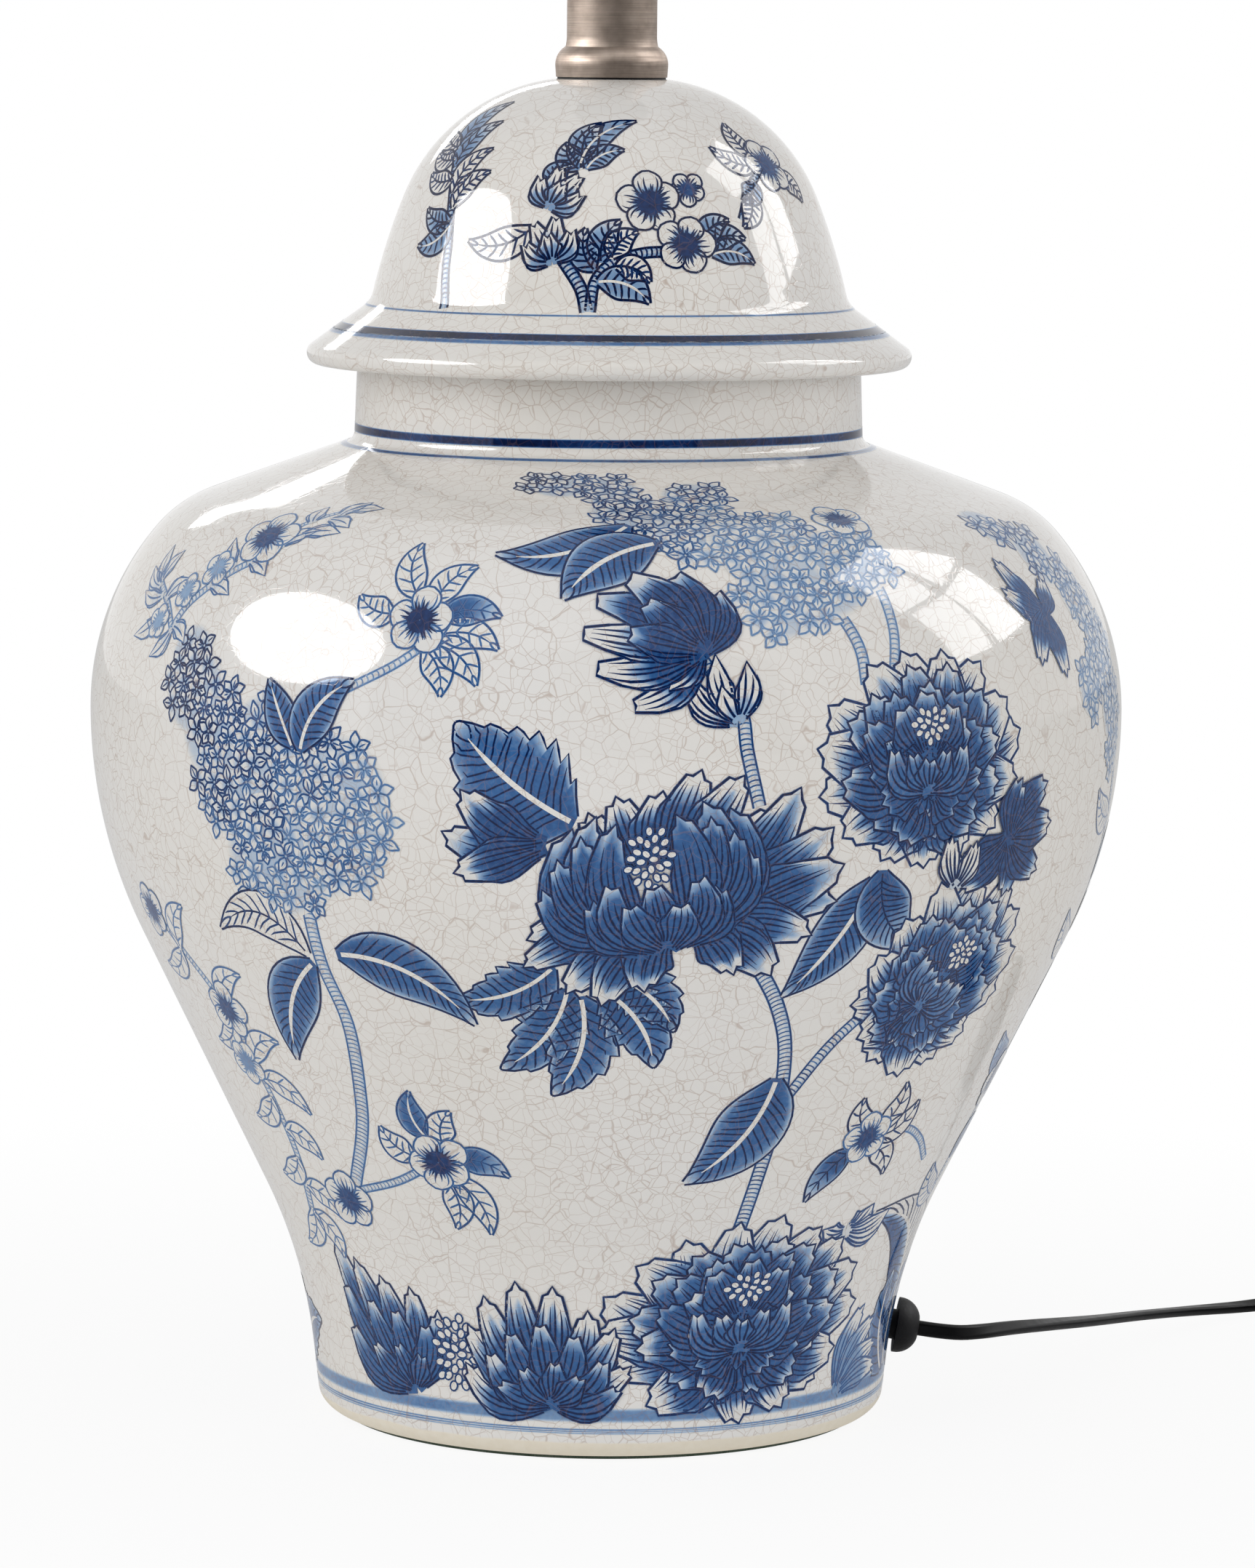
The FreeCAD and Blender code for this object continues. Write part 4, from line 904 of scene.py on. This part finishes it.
    def blossoms(*flowers):
        for azimuth, height, radius, turn, line_ink, eye in flowers:
            blossom(at(stems, azimuth, height, level=24), radius, turn, line_ink, eye)

    blossoms((-53.0, 236.5, 5.5, 20, 0.5, 0.35), (-57.0, 230.0, 5.0, 20, 0.5, 0.35),
             (-60.5, 221.5, 5.0, 20, 0.5, 0.35))

    # the sprays of two small flowers
    put_leaves((((-21.5, 233), (-23.2, 246), "pale"), ((-19.5, 231), (-15.2, 241), "pale"),
                ((-18.4, 228), (-11.5, 229), "wash"), ((-19.0, 222), (-13.6, 212), "pale"),
                ((-20.0, 221), (-17.5, 209), "pale"), ((-24.0, 229), (-29.0, 233), "pale"),
                ((-18.6, 224), (-11.5, 221), "pale")), 8.5, 0.15, 5, 0.7)
    put_leaves((((-25.6, 90), (-26.6, 103), "dark"), ((-23.2, 88), (-21.0, 98), "pale"),
                ((-22.0, 84), (-13.6, 80), "wash"), ((-23.0, 79), (-18.0, 63), "pale"),
                ((-24.0, 78), (-24.0, 64), "pale"), ((-28.0, 84), (-33.0, 92), "pale")), 8.5, 0.15, 5, 0.75)

    # small flowers
    blossoms((-20.9, 227.6, 9.0, 15, 0.65, 1.0), (-24.6, 83.0, 9.4, 40, 0.65, 0.95),
             (-44.6, 68.4, 9.0, 10, 0.65, 0.85), (-47.5, 245.0, 9.5, 20, 0.55, 0.85),
             (-66.5, 143.5, 8, 30, 0.6, 0.85), (-56.0, 119.0, 8.5, 5, 0.6, 0.85),
             (-57.0, 104.0, 7.0, 50, 0.5, 0.5), (42.0, 88.0, 8, 30, 0.6, 0.85),
             (33.5, 251.5, 8, 30, 0.5, 0.85), (77.0, 96.0, 9, 30, 0.6, 0.85),
             (83.5, 141.0, 7.5, 10, 0.55, 0.85))

    # heads of small florets
    def head(azimuth, height, circles, **rest):
        hydrangea(at(heads, azimuth, height), [(a + far, h, r) for a, h, r in circles], **rest)

    head(-35.2, 176.0, [(-35.2, 176, 24), (-30, 181, 18), (-42, 184, 17), (-38, 165, 17),
                        (-28.5, 171, 13), (-46, 196, 13), (-50, 206, 12), (-51.5, 214, 9),
                        (-38.5, 195, 12)])
    head(12.0, 246.0, [(-9, 259.5, 8), (0, 258.5, 9), (4, 253, 12), (12, 251, 15), (20, 247, 15),
                       (27, 240, 14), (21, 235, 13), (32, 242, 10), (14, 257, 9)], line_ink=0.56)
    head(66.0, 225.0, [(60, 248, 8), (66, 240, 10), (71, 229, 11), (74, 214, 12), (75, 199, 11),
                       (76, 188, 8), (67, 205, 8)], line_ink=0.5)
    put_leaf((-34.6, 194), (-38.5, 211), 10, 40, heads, bend=0.0, veins=8)
    put_leaf((-33.6, 193), (-27.5, 212), 13, 44, heads, bend=0.14, veins=9)
    put_leaf((3.0, 251), (-13.5, 244), 15, 40, heads, bend=0.15, veins=11)
    put_leaf((6.4, 247), (-4.8, 233.5), 17, 44, heads, bend=-0.1, veins=11)
    spray(heads, 60, 226, 52, [(-12, 17, 8, 0.1), (-16, 8, 8, 0.1), (-10, -14, 9, -0.1), (2, -18, 9, 0.0),
                               (6, 10, 8, -0.1)], ink=0.6, pale=0.7, line_ink=0.8)

    # leaves behind the big flowers
    put_leaf((-3, 178), (-15.6, 203), 25, 0, middle, bend=0.06, teeth=7, veins=14)
    spray(middle, -6, 172, 4, [(-27, 3, 12, 0.1), (-22, 14, 13, 0.1), (-24, -8, 12, 0.0)], ink=0.6)
    for base, tip, width in (((-5.5, 140), (-17.5, 130), 14), ((-4.0, 134), (-13.0, 111), 15),
                             ((-2.5, 132), (-6.5, 104), 16), ((0.0, 134), (6.6, 112), 16),
                             ((1.0, 138), (8.8, 122), 14)):
        put_leaf(base, tip, width, 2, middle, teeth=6, veins=9)
    put_leaf((30.5, 162), (21.5, 131), 17, 2, middle, bend=0.05, veins=15)
    put_leaf((31.5, 164), (37.5, 143), 17, 6, middle, bend=-0.16, style="wash", veins=12)

    # peonies, and the smaller flower beside the upper one
    peony(at(right, 36.5, 193.5, level=10), 66, 58, 0.54, 15)
    peony(at(right, 44.5, 133.0, turn=-30, level=10), 56, 60, 0.5, 14)
    great_peony(at(middle, 4.8, 166.5, turn=2, level=20))
    peony(at(foot, 27.0, 40.0, turn=2, level=30), 78, 60, 0.54, 17)
    spray(right, 49.5, 170.0, 70, [
        (-19, -6, 11, 0.1), (-16, -13, 10, 0.1), (2, -17, 10, 0.1), (16, -11, 12, -0.1), (19, 2, 13, 0.0),
        (15, 13, 12, 0.1), (3, 15, 11, 0.1)], ink=0.62, pale=0.85)
    spray(right, 42.0, 158.0, 80, [(-4, 14, 8, 0.1), (5, 12, 8, -0.1)], ink=0.1, pale=0.4)

    # a bud on the main stem
    bud = at(middle, 10.4, 221.0, level=60)
    fans(bud, (0, 0), [(-19, -14, 9, 0.15), (-10, -9, 8, 0.1), (-28, -4, 10, 0.1), (-31, 5, 10, 0.0)],
         ink=0.55, pale=0.62, teeth=2)
    fans(bud, (0, 0), [(4, 17, 11, -0.2), (-27, 14, 11, -0.1), (-6, 22, 13, -0.1), (-18, 21, 13, -0.1),
                       (-14, 14, 12, 0.0), (-19, 5, 11, 0.0)], ink=0.62, pale=0.88, teeth=2)
    spray(middle, 14.0, 204.0, 50, [(-12, 12, 8, 0.2), (-5, 17, 7, 0.1), (3, 15, 7, -0.1), (-4, 9, 6, 0.1)],
          ink=0.18, pale=0.4, teeth=1)

    # foliage and seeds at the foot
    seeds(at(foot, -27.5, 28.0, level=40), (0, 0), 15, 22, 36, 2.9)
    spray(foot, -38.0, 17.0, 8, [
        (-24, 40, 11, 0.1), (-17, 35, 11, 0.05), (-8, 31, 11, 0.0), (2, 29, 10, -0.05), (10, 23, 10, -0.1)],
        ink=0.5, pale=0.82)
    spray(foot, -38.0, 17.0, 20, [
        (-24, 27, 9, 0.15), (-14, 24, 9, 0.1), (-5, 22, 9, 0.0), (5, 19, 9, -0.1), (-24, 15, 9, 0.2),
        (-15, 11, 8, 0.1), (-6, 12, 8, 0.0), (3, 10, 8, 0.0)], ink=0.5, pale=0.9, teeth=2)
    spray(foot, -9.0, 17.0, 44, [
        (-24, 9, 11, 0.2), (-23, 20, 11, 0.1), (-18, 29, 11, 0.1), (-9, 34, 11, 0.05), (1, 33, 11, 0.0),
        (10, 26, 11, -0.1), (17, 21, 10, -0.1), (21, 10, 9, -0.1)], ink=0.52, pale=0.76)
    spray(foot, -9.0, 16.5, 60, [
        (-17, 14, 9, 0.2), (-11, 20, 9, 0.1), (-3, 23, 9, 0.0), (6, 20, 9, -0.1), (14, 13, 9, -0.2),
        (18, 5, 8, -0.2), (-15, 5, 8, 0.1), (-8, 10, 8, 0.1), (1, 12, 8, 0.0), (8, 8, 8, -0.1)],
        ink=0.52, pale=0.9, teeth=2)
    put_leaf((76.0, 16.0), (52.0, 64.0), 23, 10, foot, bend=-0.28, style="half", veins=15)
    spray(foot, 45.5, 61.0, 16, [(-9, 1, 8, 0.2), (8, 7, 10, -0.2), (17, 4, 10, -0.2)],
          ink=0.04, pale=0.5, teeth=1, line_ink=0.8)
    spray(foot, 54.0, 13.0, 14, [(8, 24, 9, 0.1), (16, 19, 9, 0.1), (20, 11, 9, 0.1), (22, 4, 8, 0.1)],
          ink=0.3, pale=0.7, line_ink=0.7)
    for base, tip in (((78, 14), (84, 46)), ((84, 13), (98, 36)), ((90, 12.5), (110, 28)),
                      ((76, 14), (70, 44))):
        put_leaf(base, tip, 15, 12, foot, bend=0.14, teeth=6, veins=9)
    for piece in (stems, middle, right, foot, heads):
        piece.finish(glaze)


def paint_lid(half):
    """One half of the lid's pattern."""
    far = 180.0 * half
    piece = Paint("painted_lid_" + ("front", "back")[half], lid_surface)

    def at(azimuth, height, **rest):
        return Brush(piece, azimuth + far, height, **rest)

    def grow(spots, width):
        brush = at(*spots[0])
        spots = [(azimuth + far, height) for azimuth, height in spots]
        stem(brush, spots, width, ink=0.25, line_ink=1.15, edge=0.6)

    def put_leaf(base, tip, width, **rest):
        brush = at(*base, level=12)
        tip = brush.spot(tip[0] + far, tip[1])
        leaf(brush, (0, 0), tip, width, edge=0.6, line_ink=1.15, wash=0.62, **rest)

    grow([(-5.2, 303.3), (-6.6, 309), (-10.3, 315), (-15.0, 321)], 3.0)
    grow([(-4.4, 303.3), (-3.4, 311), (0.8, 316), (8, 318.5), (15, 319)], 2.6)
    grow([(-42.0, 303.2), (-44.0, 313), (-45.5, 322), (-50.5, 336), (-59.2, 347)], 2.4)
    grow([(37, 327), (42.5, 335), (52, 341)], 2.0)
    for base, tip, width, style in (
            ((-20, 325), (-38.5, 321), 9, "pale"), ((-17, 336), (-11.5, 341), 7, "dark"),
            ((-9.0, 341), (9.8, 352.5), 8, "dark"), ((-8.0, 342), (-3.0, 352), 8, "wash"),
            ((-7.0, 340), (4.5, 345), 7, "dark"), ((-9, 340), (-14, 347), 7, "wash"),
            ((-3.5, 314), (-6.0, 325), 8, "wash"), ((-2.0, 316), (3.0, 327), 8, "wash"),
            ((0.5, 317), (7.5, 324), 7, "pale"), ((-3.0, 311), (9.6, 305.5), 9, "dark"),
            ((1.5, 315), (10.0, 311), 7, "pale"), ((24, 321), (33, 327), 7, "wash"),
            ((26, 318), (38.5, 315.5), 7, "dark"), ((25, 320), (37, 322), 7, "wash"),
            ((50, 343), (47.0, 352), 7, "pale"), ((48, 341), (33.5, 346), 7, "pale"),
            ((45, 337), (38.5, 332), 7, "wash"), ((42, 334), (37.0, 325), 7, "pale"),
            ((58, 338), (66, 331), 7, "pale"), ((-46, 325), (-57.5, 319), 8, "dark"),
            ((-46.0, 326), (-58, 329), 7, "wash"), ((-47, 329), (-37.0, 339), 7, "pale"),
            ((-49, 333), (-40.0, 345), 7, "pale"), ((-51, 337), (-64, 338), 7, "pale"),
            ((-53, 340), (-44, 352), 8, "wash"), ((-57, 345), (-50.0, 357), 8, "wash"),
            ((-57, 345), (-72, 350), 7, "pale"), ((-55, 342), (-68, 344), 7, "pale")):
        put_leaf(base, tip, width, bend=0.16, style=style, veins=6)
    for azimuth, height, size, turn in ((-15.6, 321.5, 6.8, 15), (-14.0, 335.0, 6.6, -25)):
        fans(at(azimuth, height, level=26, turn=turn), (0, -0.8 * size), [
            (-0.5 * size, 0.9 * size, size, 0.0), (0.5 * size, 0.95 * size, size, 0.0),
            (-0.95 * size, 0.2 * size, size, 0.2), (0.95 * size, 0.3 * size, size, -0.2),
            (0.0, 0.35 * size, size, 0.0)], ink=0.3, pale=0.6, teeth=2, line_ink=1.15)
    blossom(at(10.9, 331.5, level=30), 8.8, 20, line_ink=1.15, eye=1.0, base=0.75)
    blossom(at(22.0, 335.0, level=24), 5.0, 50, line_ink=1.1)
    blossom(at(19.6, 320.8, level=36), 8.2, 0, line_ink=1.15, eye=1.0, base=0.75)
    blossom(at(54.4, 341.0, level=30), 8.2, 30, line_ink=1.0, base=0.6)
    piece.finish(glaze)


for half in (0, 1):
    paint_body(half)
    paint_lid(half)

# ------------------------------------------------------------------------ plain materials


def nickel_material():
    """Brushed nickel, brushed round the axis."""
    shader = Shader("brushed_nickel", Metallic=1.0, Anisotropic=0.5)
    rings = shader.noise(1.0, 5.0, shader.stretched(60, 60, 5200))
    mottled = shader.noise(240.0, 4.0)
    tone = shader.mix(shader.span(mottled, 0.3, 0.7, 0, 1), paint(134, 121, 111), paint(162, 149, 138))
    lined = shader.mix(shader.span(rings, 0.35, 0.75, 0, 0.45), tone, paint(98, 88, 82))
    axis = shader.node("Tangent", direction_type="RADIAL", axis="Z").outputs["Tangent"]
    shader.bump(rings, 0.00002)
    shader.wear(Base_Color=lined, Roughness=shader.span(rings, 0.3, 0.7, 0.44, 0.58), Tangent=axis)
    return shader.material


def metal_material(name, colour, worn, roughness):
    """Plain metal with slight tarnish."""
    shader = Shader(name, Metallic=1.0)
    spots = shader.noise(320.0, 5.0)
    shader.bump(spots, 0.00001)
    shader.wear(Base_Color=shader.mix(shader.span(spots, 0.4, 0.7, 0, 1), colour, worn),
                Roughness=shader.span(spots, 0.3, 0.7, roughness, roughness + 0.12))
    return shader.material


def moulded_material(name, colour, lighter, roughness, grain, depth, shine=0.5):
    """Moulded plastic or rubber with a fine grain."""
    shader = Shader(name, Specular_IOR_Level=shine)
    fine = shader.noise(grain, 4.0)
    shader.bump(fine, depth)
    cloudy = shader.span(shader.noise(90.0), 0.3, 0.7, 0, 1)
    shader.wear(Base_Color=shader.mix(cloudy, colour, lighter),
                Roughness=shader.span(fine, 0.3, 0.7, roughness, roughness + 0.1))
    return shader.material


def felt_material():
    """Dense felt with loose fibres."""
    shader = Shader("green_felt", Roughness=0.95, Sheen_Weight=0.3)
    fibres = shader.noise(2600.0, 6.0, shader.stretched(1, 1, 0.4))
    shader.bump(fibres, 0.0002)
    shader.wear(Base_Color=shader.mix(fibres, paint(46, 62, 50), paint(92, 108, 92)))
    return shader.material


SLOT_MATERIALS = {
    "nickel": nickel_material(),
    "zinc": metal_material("zinc_plate", paint(168, 170, 172), paint(140, 142, 140), 0.28),
    "brass": metal_material("brass", paint(196, 162, 92), paint(168, 134, 72), 0.25),
    "black_plastic": moulded_material("black_plastic", paint(16, 16, 17), paint(24, 24, 25), 0.28, 900.0,
                                      0.00002),
    "insulator": moulded_material("steatite", paint(222, 216, 200), paint(208, 201, 184), 0.35, 500.0,
                                  0.00003),
    "rubber": moulded_material("black_rubber", paint(12, 12, 14), paint(20, 19, 22), 0.5, 1400.0, 0.00006,
                               0.2),
    "lead": moulded_material("black_sheath", paint(5, 5, 6), paint(9, 9, 11), 0.3, 300.0, 0.00001, 0.12),
    "tie": moulded_material("black_strap", paint(18, 18, 19), paint(30, 30, 31), 0.45, 1600.0, 0.00008),
    "felt": felt_material(),
}
for subpart in frame["record"]["subparts"]:
    node = frame["nodes"][subpart["node"]]
    finish = SLOT_MATERIALS.get(subpart["material_slot"], glaze)
    node.data.materials.clear()
    node.data.materials.append(finish)

# ------------------------------------------------------------------------------ the lead

GROMMET_TIP = (87.279, 0.0, 21.780)
GROMMET_TILT = math.radians(9.0)
COIL_CENTRE = (239.0, 125.5)
COIL_BASE, COIL_RADIUS, COIL_PITCH, COIL_LAYERS, COIL_TURNS = 3.15, 30.0, 4.75, 4, 10
ARRIVAL = 27.8                  # heading of the lead where it meets the coil
CLIMB = 0.25                    # turns, each side of a reversal, in which a layer is climbed
TAIL_RUN, TAIL_DROP, PLUG_HEIGHT = 15.0, 26.0, 6.85


def coil_points(per_turn=16):
    """The winding, clockwise from above, in and out again a layer at a time."""
    entry = 90.0 + ARRIVAL
    turns = COIL_TURNS + entry / 360
    layer_turns = turns / COIL_LAYERS
    points = []
    for turn in np.linspace(0, turns, round(turns * per_turn) + 1):
        layer = min(int(turn / layer_turns + 1e-9), COIL_LAYERS - 1)
        within = turn - layer * layer_turns
        radius = COIL_RADIUS - COIL_PITCH * (within if layer % 2 == 0 else layer_turns - within)
        nearest = round(turn / layer_turns)
        level = float(layer)
        if 0 < nearest < COIL_LAYERS and abs(turn - nearest * layer_turns) < CLIMB:
            level = nearest - 1 + float(ease(turn - nearest * layer_turns, -CLIMB, CLIMB))
        angle = math.radians(entry - 360 * turn)
        points.append((COIL_CENTRE[0] + radius * math.cos(angle),
                       COIL_CENTRE[1] + radius * math.sin(angle), COIL_BASE + level * COIL_PITCH))
    return points


def lead_points():
    """The route: out of the grommet, over the table, round the coil and into the plug."""
    arrival = np.array([cosd(ARRIVAL), sind(ARRIVAL), 0])
    out = np.array([math.cos(GROMMET_TILT), 0, -math.sin(GROMMET_TILT)])
    coil = coil_points()
    lead_end = np.array(coil[0]) - arrival * CORD_WIDTH
    exit_x, exit_y, exit_z = coil[-1][0], coil[-1][1] - CORD_WIDTH, coil[-1][2]
    boot = exit_y - 2 * TAIL_RUN - TAIL_DROP
    return [
        GROMMET_TIP,
        tuple(np.array(GROMMET_TIP) + out * 9.5),
        (105.3, 5.0, 19.9),
        (113.5, 16.5, 18.7),
        (125.0, 35.0, 16.0),
        (139.5, 59.5, 12.3),
        (154.5, 88.0, 8.3),
        (172.0, 114.5, 4.6),
        (192.0, 133.5, 2.4),
        tuple(lead_end - arrival * 16.0),
        tuple(lead_end),
        *coil,
        (exit_x, exit_y, exit_z),
        (exit_x, exit_y - TAIL_RUN, exit_z),
        (exit_x, boot + TAIL_RUN, PLUG_HEIGHT),
        (exit_x, boot, PLUG_HEIGHT),
    ]


def twin_section():
    """Cross section of a flat two-core sheath: two rounded halves with a groove between."""
    shape = bpy.data.curves.new("twin_section", "CURVE")
    shape.dimensions = "2D"
    outline = shape.splines.new("POLY")
    count = 28
    outline.points.add(count - 1)
    bulge = CORD_THICKNESS / 2
    offset = CORD_WIDTH / 2 - bulge
    for k in range(count):
        angle = 2 * math.pi * k / count
        x, y = math.cos(angle), math.sin(angle)
        groove = 1 - 0.16 * math.exp(-(x / 0.22) ** 2)
        across_cord = x * bulge + math.copysign(offset, x) * min(1, abs(x) * 4)
        outline.points[k].co = (across_cord * MM, y * bulge * groove * MM, 0, 1)
    outline.use_cyclic_u = True
    section = add("twin_section", shape)
    section.hide_render = section.hide_viewport = True
    return section


def make_lead():
    """The mains lead as one curve, lying flat on the table and standing on edge in its coil."""
    route = lead_points()
    curve = bpy.data.curves.new("mains_lead", "CURVE")
    curve.dimensions = "3D"
    curve.twist_mode = "Z_UP"
    curve.resolution_u = 6
    spline = curve.splines.new("NURBS")
    spline.points.add(len(route) - 1)
    for point, place in zip(spline.points, route):
        point.co = (*(v * MM for v in place), 1.0)
    spline.order_u = 3
    spline.use_endpoint_u = True
    on_edge = math.pi / 2
    flat_from, flat_to, coil_from = 6, 7, 10
    for k, point in enumerate(spline.points):
        lying = ease(float(k), 0, flat_from) * (1 - ease(float(k), flat_to, coil_from))
        point.tilt = on_edge * (1 - float(lying))
    curve.bevel_mode = "OBJECT"
    curve.bevel_object = twin_section()
    curve.use_fill_caps = True
    curve.materials.append(SLOT_MATERIALS["lead"])
    piece = add("mains_lead", curve)
    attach(piece, "lamp")
    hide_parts("cord_lead", "cord_coil", "cord_tail")


make_lead()

# ------------------------------------------------------------------ camera, floor and light


def make_camera():
    """The photograph's camera."""
    data = bpy.data.cameras.new("camera")
    data.lens = CAMERA_LENS
    data.sensor_width = 36.0
    camera = add("camera", data)
    pitch = Matrix.Rotation(math.radians(90 - CAMERA_PITCH), 4, "X")
    roll = Matrix.Rotation(math.radians(CAMERA_ROLL), 4, "Z")
    camera.matrix_world = Matrix.Translation(Vector(CAMERA_PLACE) * MM) @ pitch @ roll
    bpy.context.scene.camera = camera


def make_floor():
    """A wide pale floor, lit where it is near and plain white further off."""
    half = 9.0
    corners = [(-half, -half, 0), (half, -half, 0), (half, half, 0), (-half, half, 0)]
    mesh = bpy.data.meshes.new("floor")
    mesh.from_pydata(corners, [], [(0, 1, 2, 3)])
    floor = add("floor", mesh)
    shader = Shader("floor", Base_Color=(0.82, 0.82, 0.82, 1.0), Roughness=0.9, Specular_IOR_Level=0.1)
    far = shader.node("VectorMath", {0: shader.place}, operation="LENGTH").outputs["Value"]
    glow = shader.glow(1.0)
    seen = shader.node("LightPath").outputs["Is Camera Ray"]
    whiteness = shader.calc("MULTIPLY", seen, shader.span(far, 0.08, 0.50, 0.90, 1.0))
    share = shader.calc("MAXIMUM", whiteness, 0.3)
    shader.end(shader.node("MixShader", {0: share, 1: shader.surface.outputs[0], 2: glow}).outputs[0])
    mesh.materials.append(shader.material)


WORLD_SEEN, WORLD_FILL = 1.0, 0.48


def make_world():
    """White to the camera and in reflections, and a softer fill on everything else."""
    world = bpy.data.worlds.new("world")
    bpy.context.scene.world = world
    world.use_nodes = True
    tree = world.node_tree
    background = tree.nodes["Background"]
    background.inputs["Color"].default_value = (1, 1, 1, 1)
    path = tree.nodes.new("ShaderNodeLightPath")
    total = path.outputs["Is Camera Ray"]
    for name in ("Is Glossy Ray", "Is Transmission Ray"):
        either = tree.nodes.new("ShaderNodeMath")
        either.operation = "MAXIMUM"
        tree.links.new(total, either.inputs[0])
        tree.links.new(path.outputs[name], either.inputs[1])
        total = either.outputs[0]
    strength = tree.nodes.new("ShaderNodeMapRange")
    strength.inputs["To Min"].default_value = WORLD_FILL
    strength.inputs["To Max"].default_value = WORLD_SEEN
    tree.links.new(total, strength.inputs["Value"])
    tree.links.new(strength.outputs["Result"], background.inputs["Strength"])


def mirrored_place(surface, azimuth, height, distance):
    """Where a lamp must stand, in metres, to be mirrored to the camera by a spot on the glaze."""
    turn = math.radians(azimuth)
    radius, level, out, up = (float(v) for v in surface.at(surface.length_at(height)))
    spot = Vector((radius * math.sin(turn), -radius * math.cos(turn), level)) * MM
    normal = Vector((out * math.sin(turn), -out * math.cos(turn), up))
    sight = (spot - Vector(CAMERA_PLACE) * MM).normalized()
    return spot + sight.reflect(normal) * distance, spot


def soft_lamp(name, place, target, size, radiance):
    """A square lamp that lights everything softly, and is not seen in reflections."""
    data = bpy.data.lights.new(name, "AREA")
    data.size = size
    data.energy = radiance * math.pi * size * size
    lamp = add(name, data)
    lamp.location = Vector(place)
    lamp.rotation_euler = (Vector(target) - lamp.location).to_track_quat("-Z", "Y").to_euler()
    lamp.visible_glossy = False


def right_and_up(place, target):
    """Directions for something at a place that faces its target."""
    facing = (target - place).normalized()
    right = facing.cross(Vector((0, 0, 1))).normalized()
    return right, right.cross(facing)


def card(name, place, target, width, height, strength, corners=4):
    """A glowing card that is only seen in reflections."""
    right, up = right_and_up(place, target)
    reach_out = 0.5 / math.cos(math.pi / 4) if corners == 4 else 0.5
    angles = [2 * math.pi * (k + 0.5) / corners for k in range(corners)]
    across_card, up_card = right * width * reach_out, up * height * reach_out
    points = [place + across_card * math.cos(a) + up_card * math.sin(a) for a in angles]
    mesh = bpy.data.meshes.new(name)
    mesh.from_pydata([tuple(p) for p in points], [], [tuple(range(corners))])
    shader = Shader(name)
    shader.end(shader.glow(strength))
    mesh.materials.append(shader.material)
    piece = add(name, mesh)
    piece.visible_camera = piece.visible_diffuse = False
    piece.visible_shadow = piece.visible_transmission = False


def make_lamps():
    """Even light, with a round softbox and windows mirrored in the glaze. Sizes in metres."""
    soft_lamp("key", (-1.3, -1.2, 1.2), (0, 0, 0.2), 1.1, 2.5)
    soft_lamp("fill", (1.3, -1.0, 0.9), (0, 0, 0.2), 1.1, 1.2)
    place, spot = mirrored_place(jar_surface, -35.0, 221.5, 1.3)
    card("softbox", place, spot, 1.04, 0.68, 16.0, 48)
    place, spot = mirrored_place(jar_surface, 42.0, 234.0, 1.6)
    right, up = right_and_up(place, spot)
    for i in (-0.5, 0.5):
        for j in (-0.5, 0.5):
            card("window_pane", place + right * i * 0.42 + up * j * 0.54, spot, 0.38, 0.50, 9.0)
    card("dark_side", Vector((-0.6, -2.6, 0.7)), Vector((-0.6, 0, 0.7)), 5.6, 3.0, 0.08)
    place, spot = mirrored_place(jar_surface, -58.0, 259.0, 1.8)
    card("far_window", place, spot, 1.0, 0.18, 6.0)


make_camera()
make_floor()
make_world()
make_lamps()
bpy.context.scene.view_settings.view_transform = "Standard"
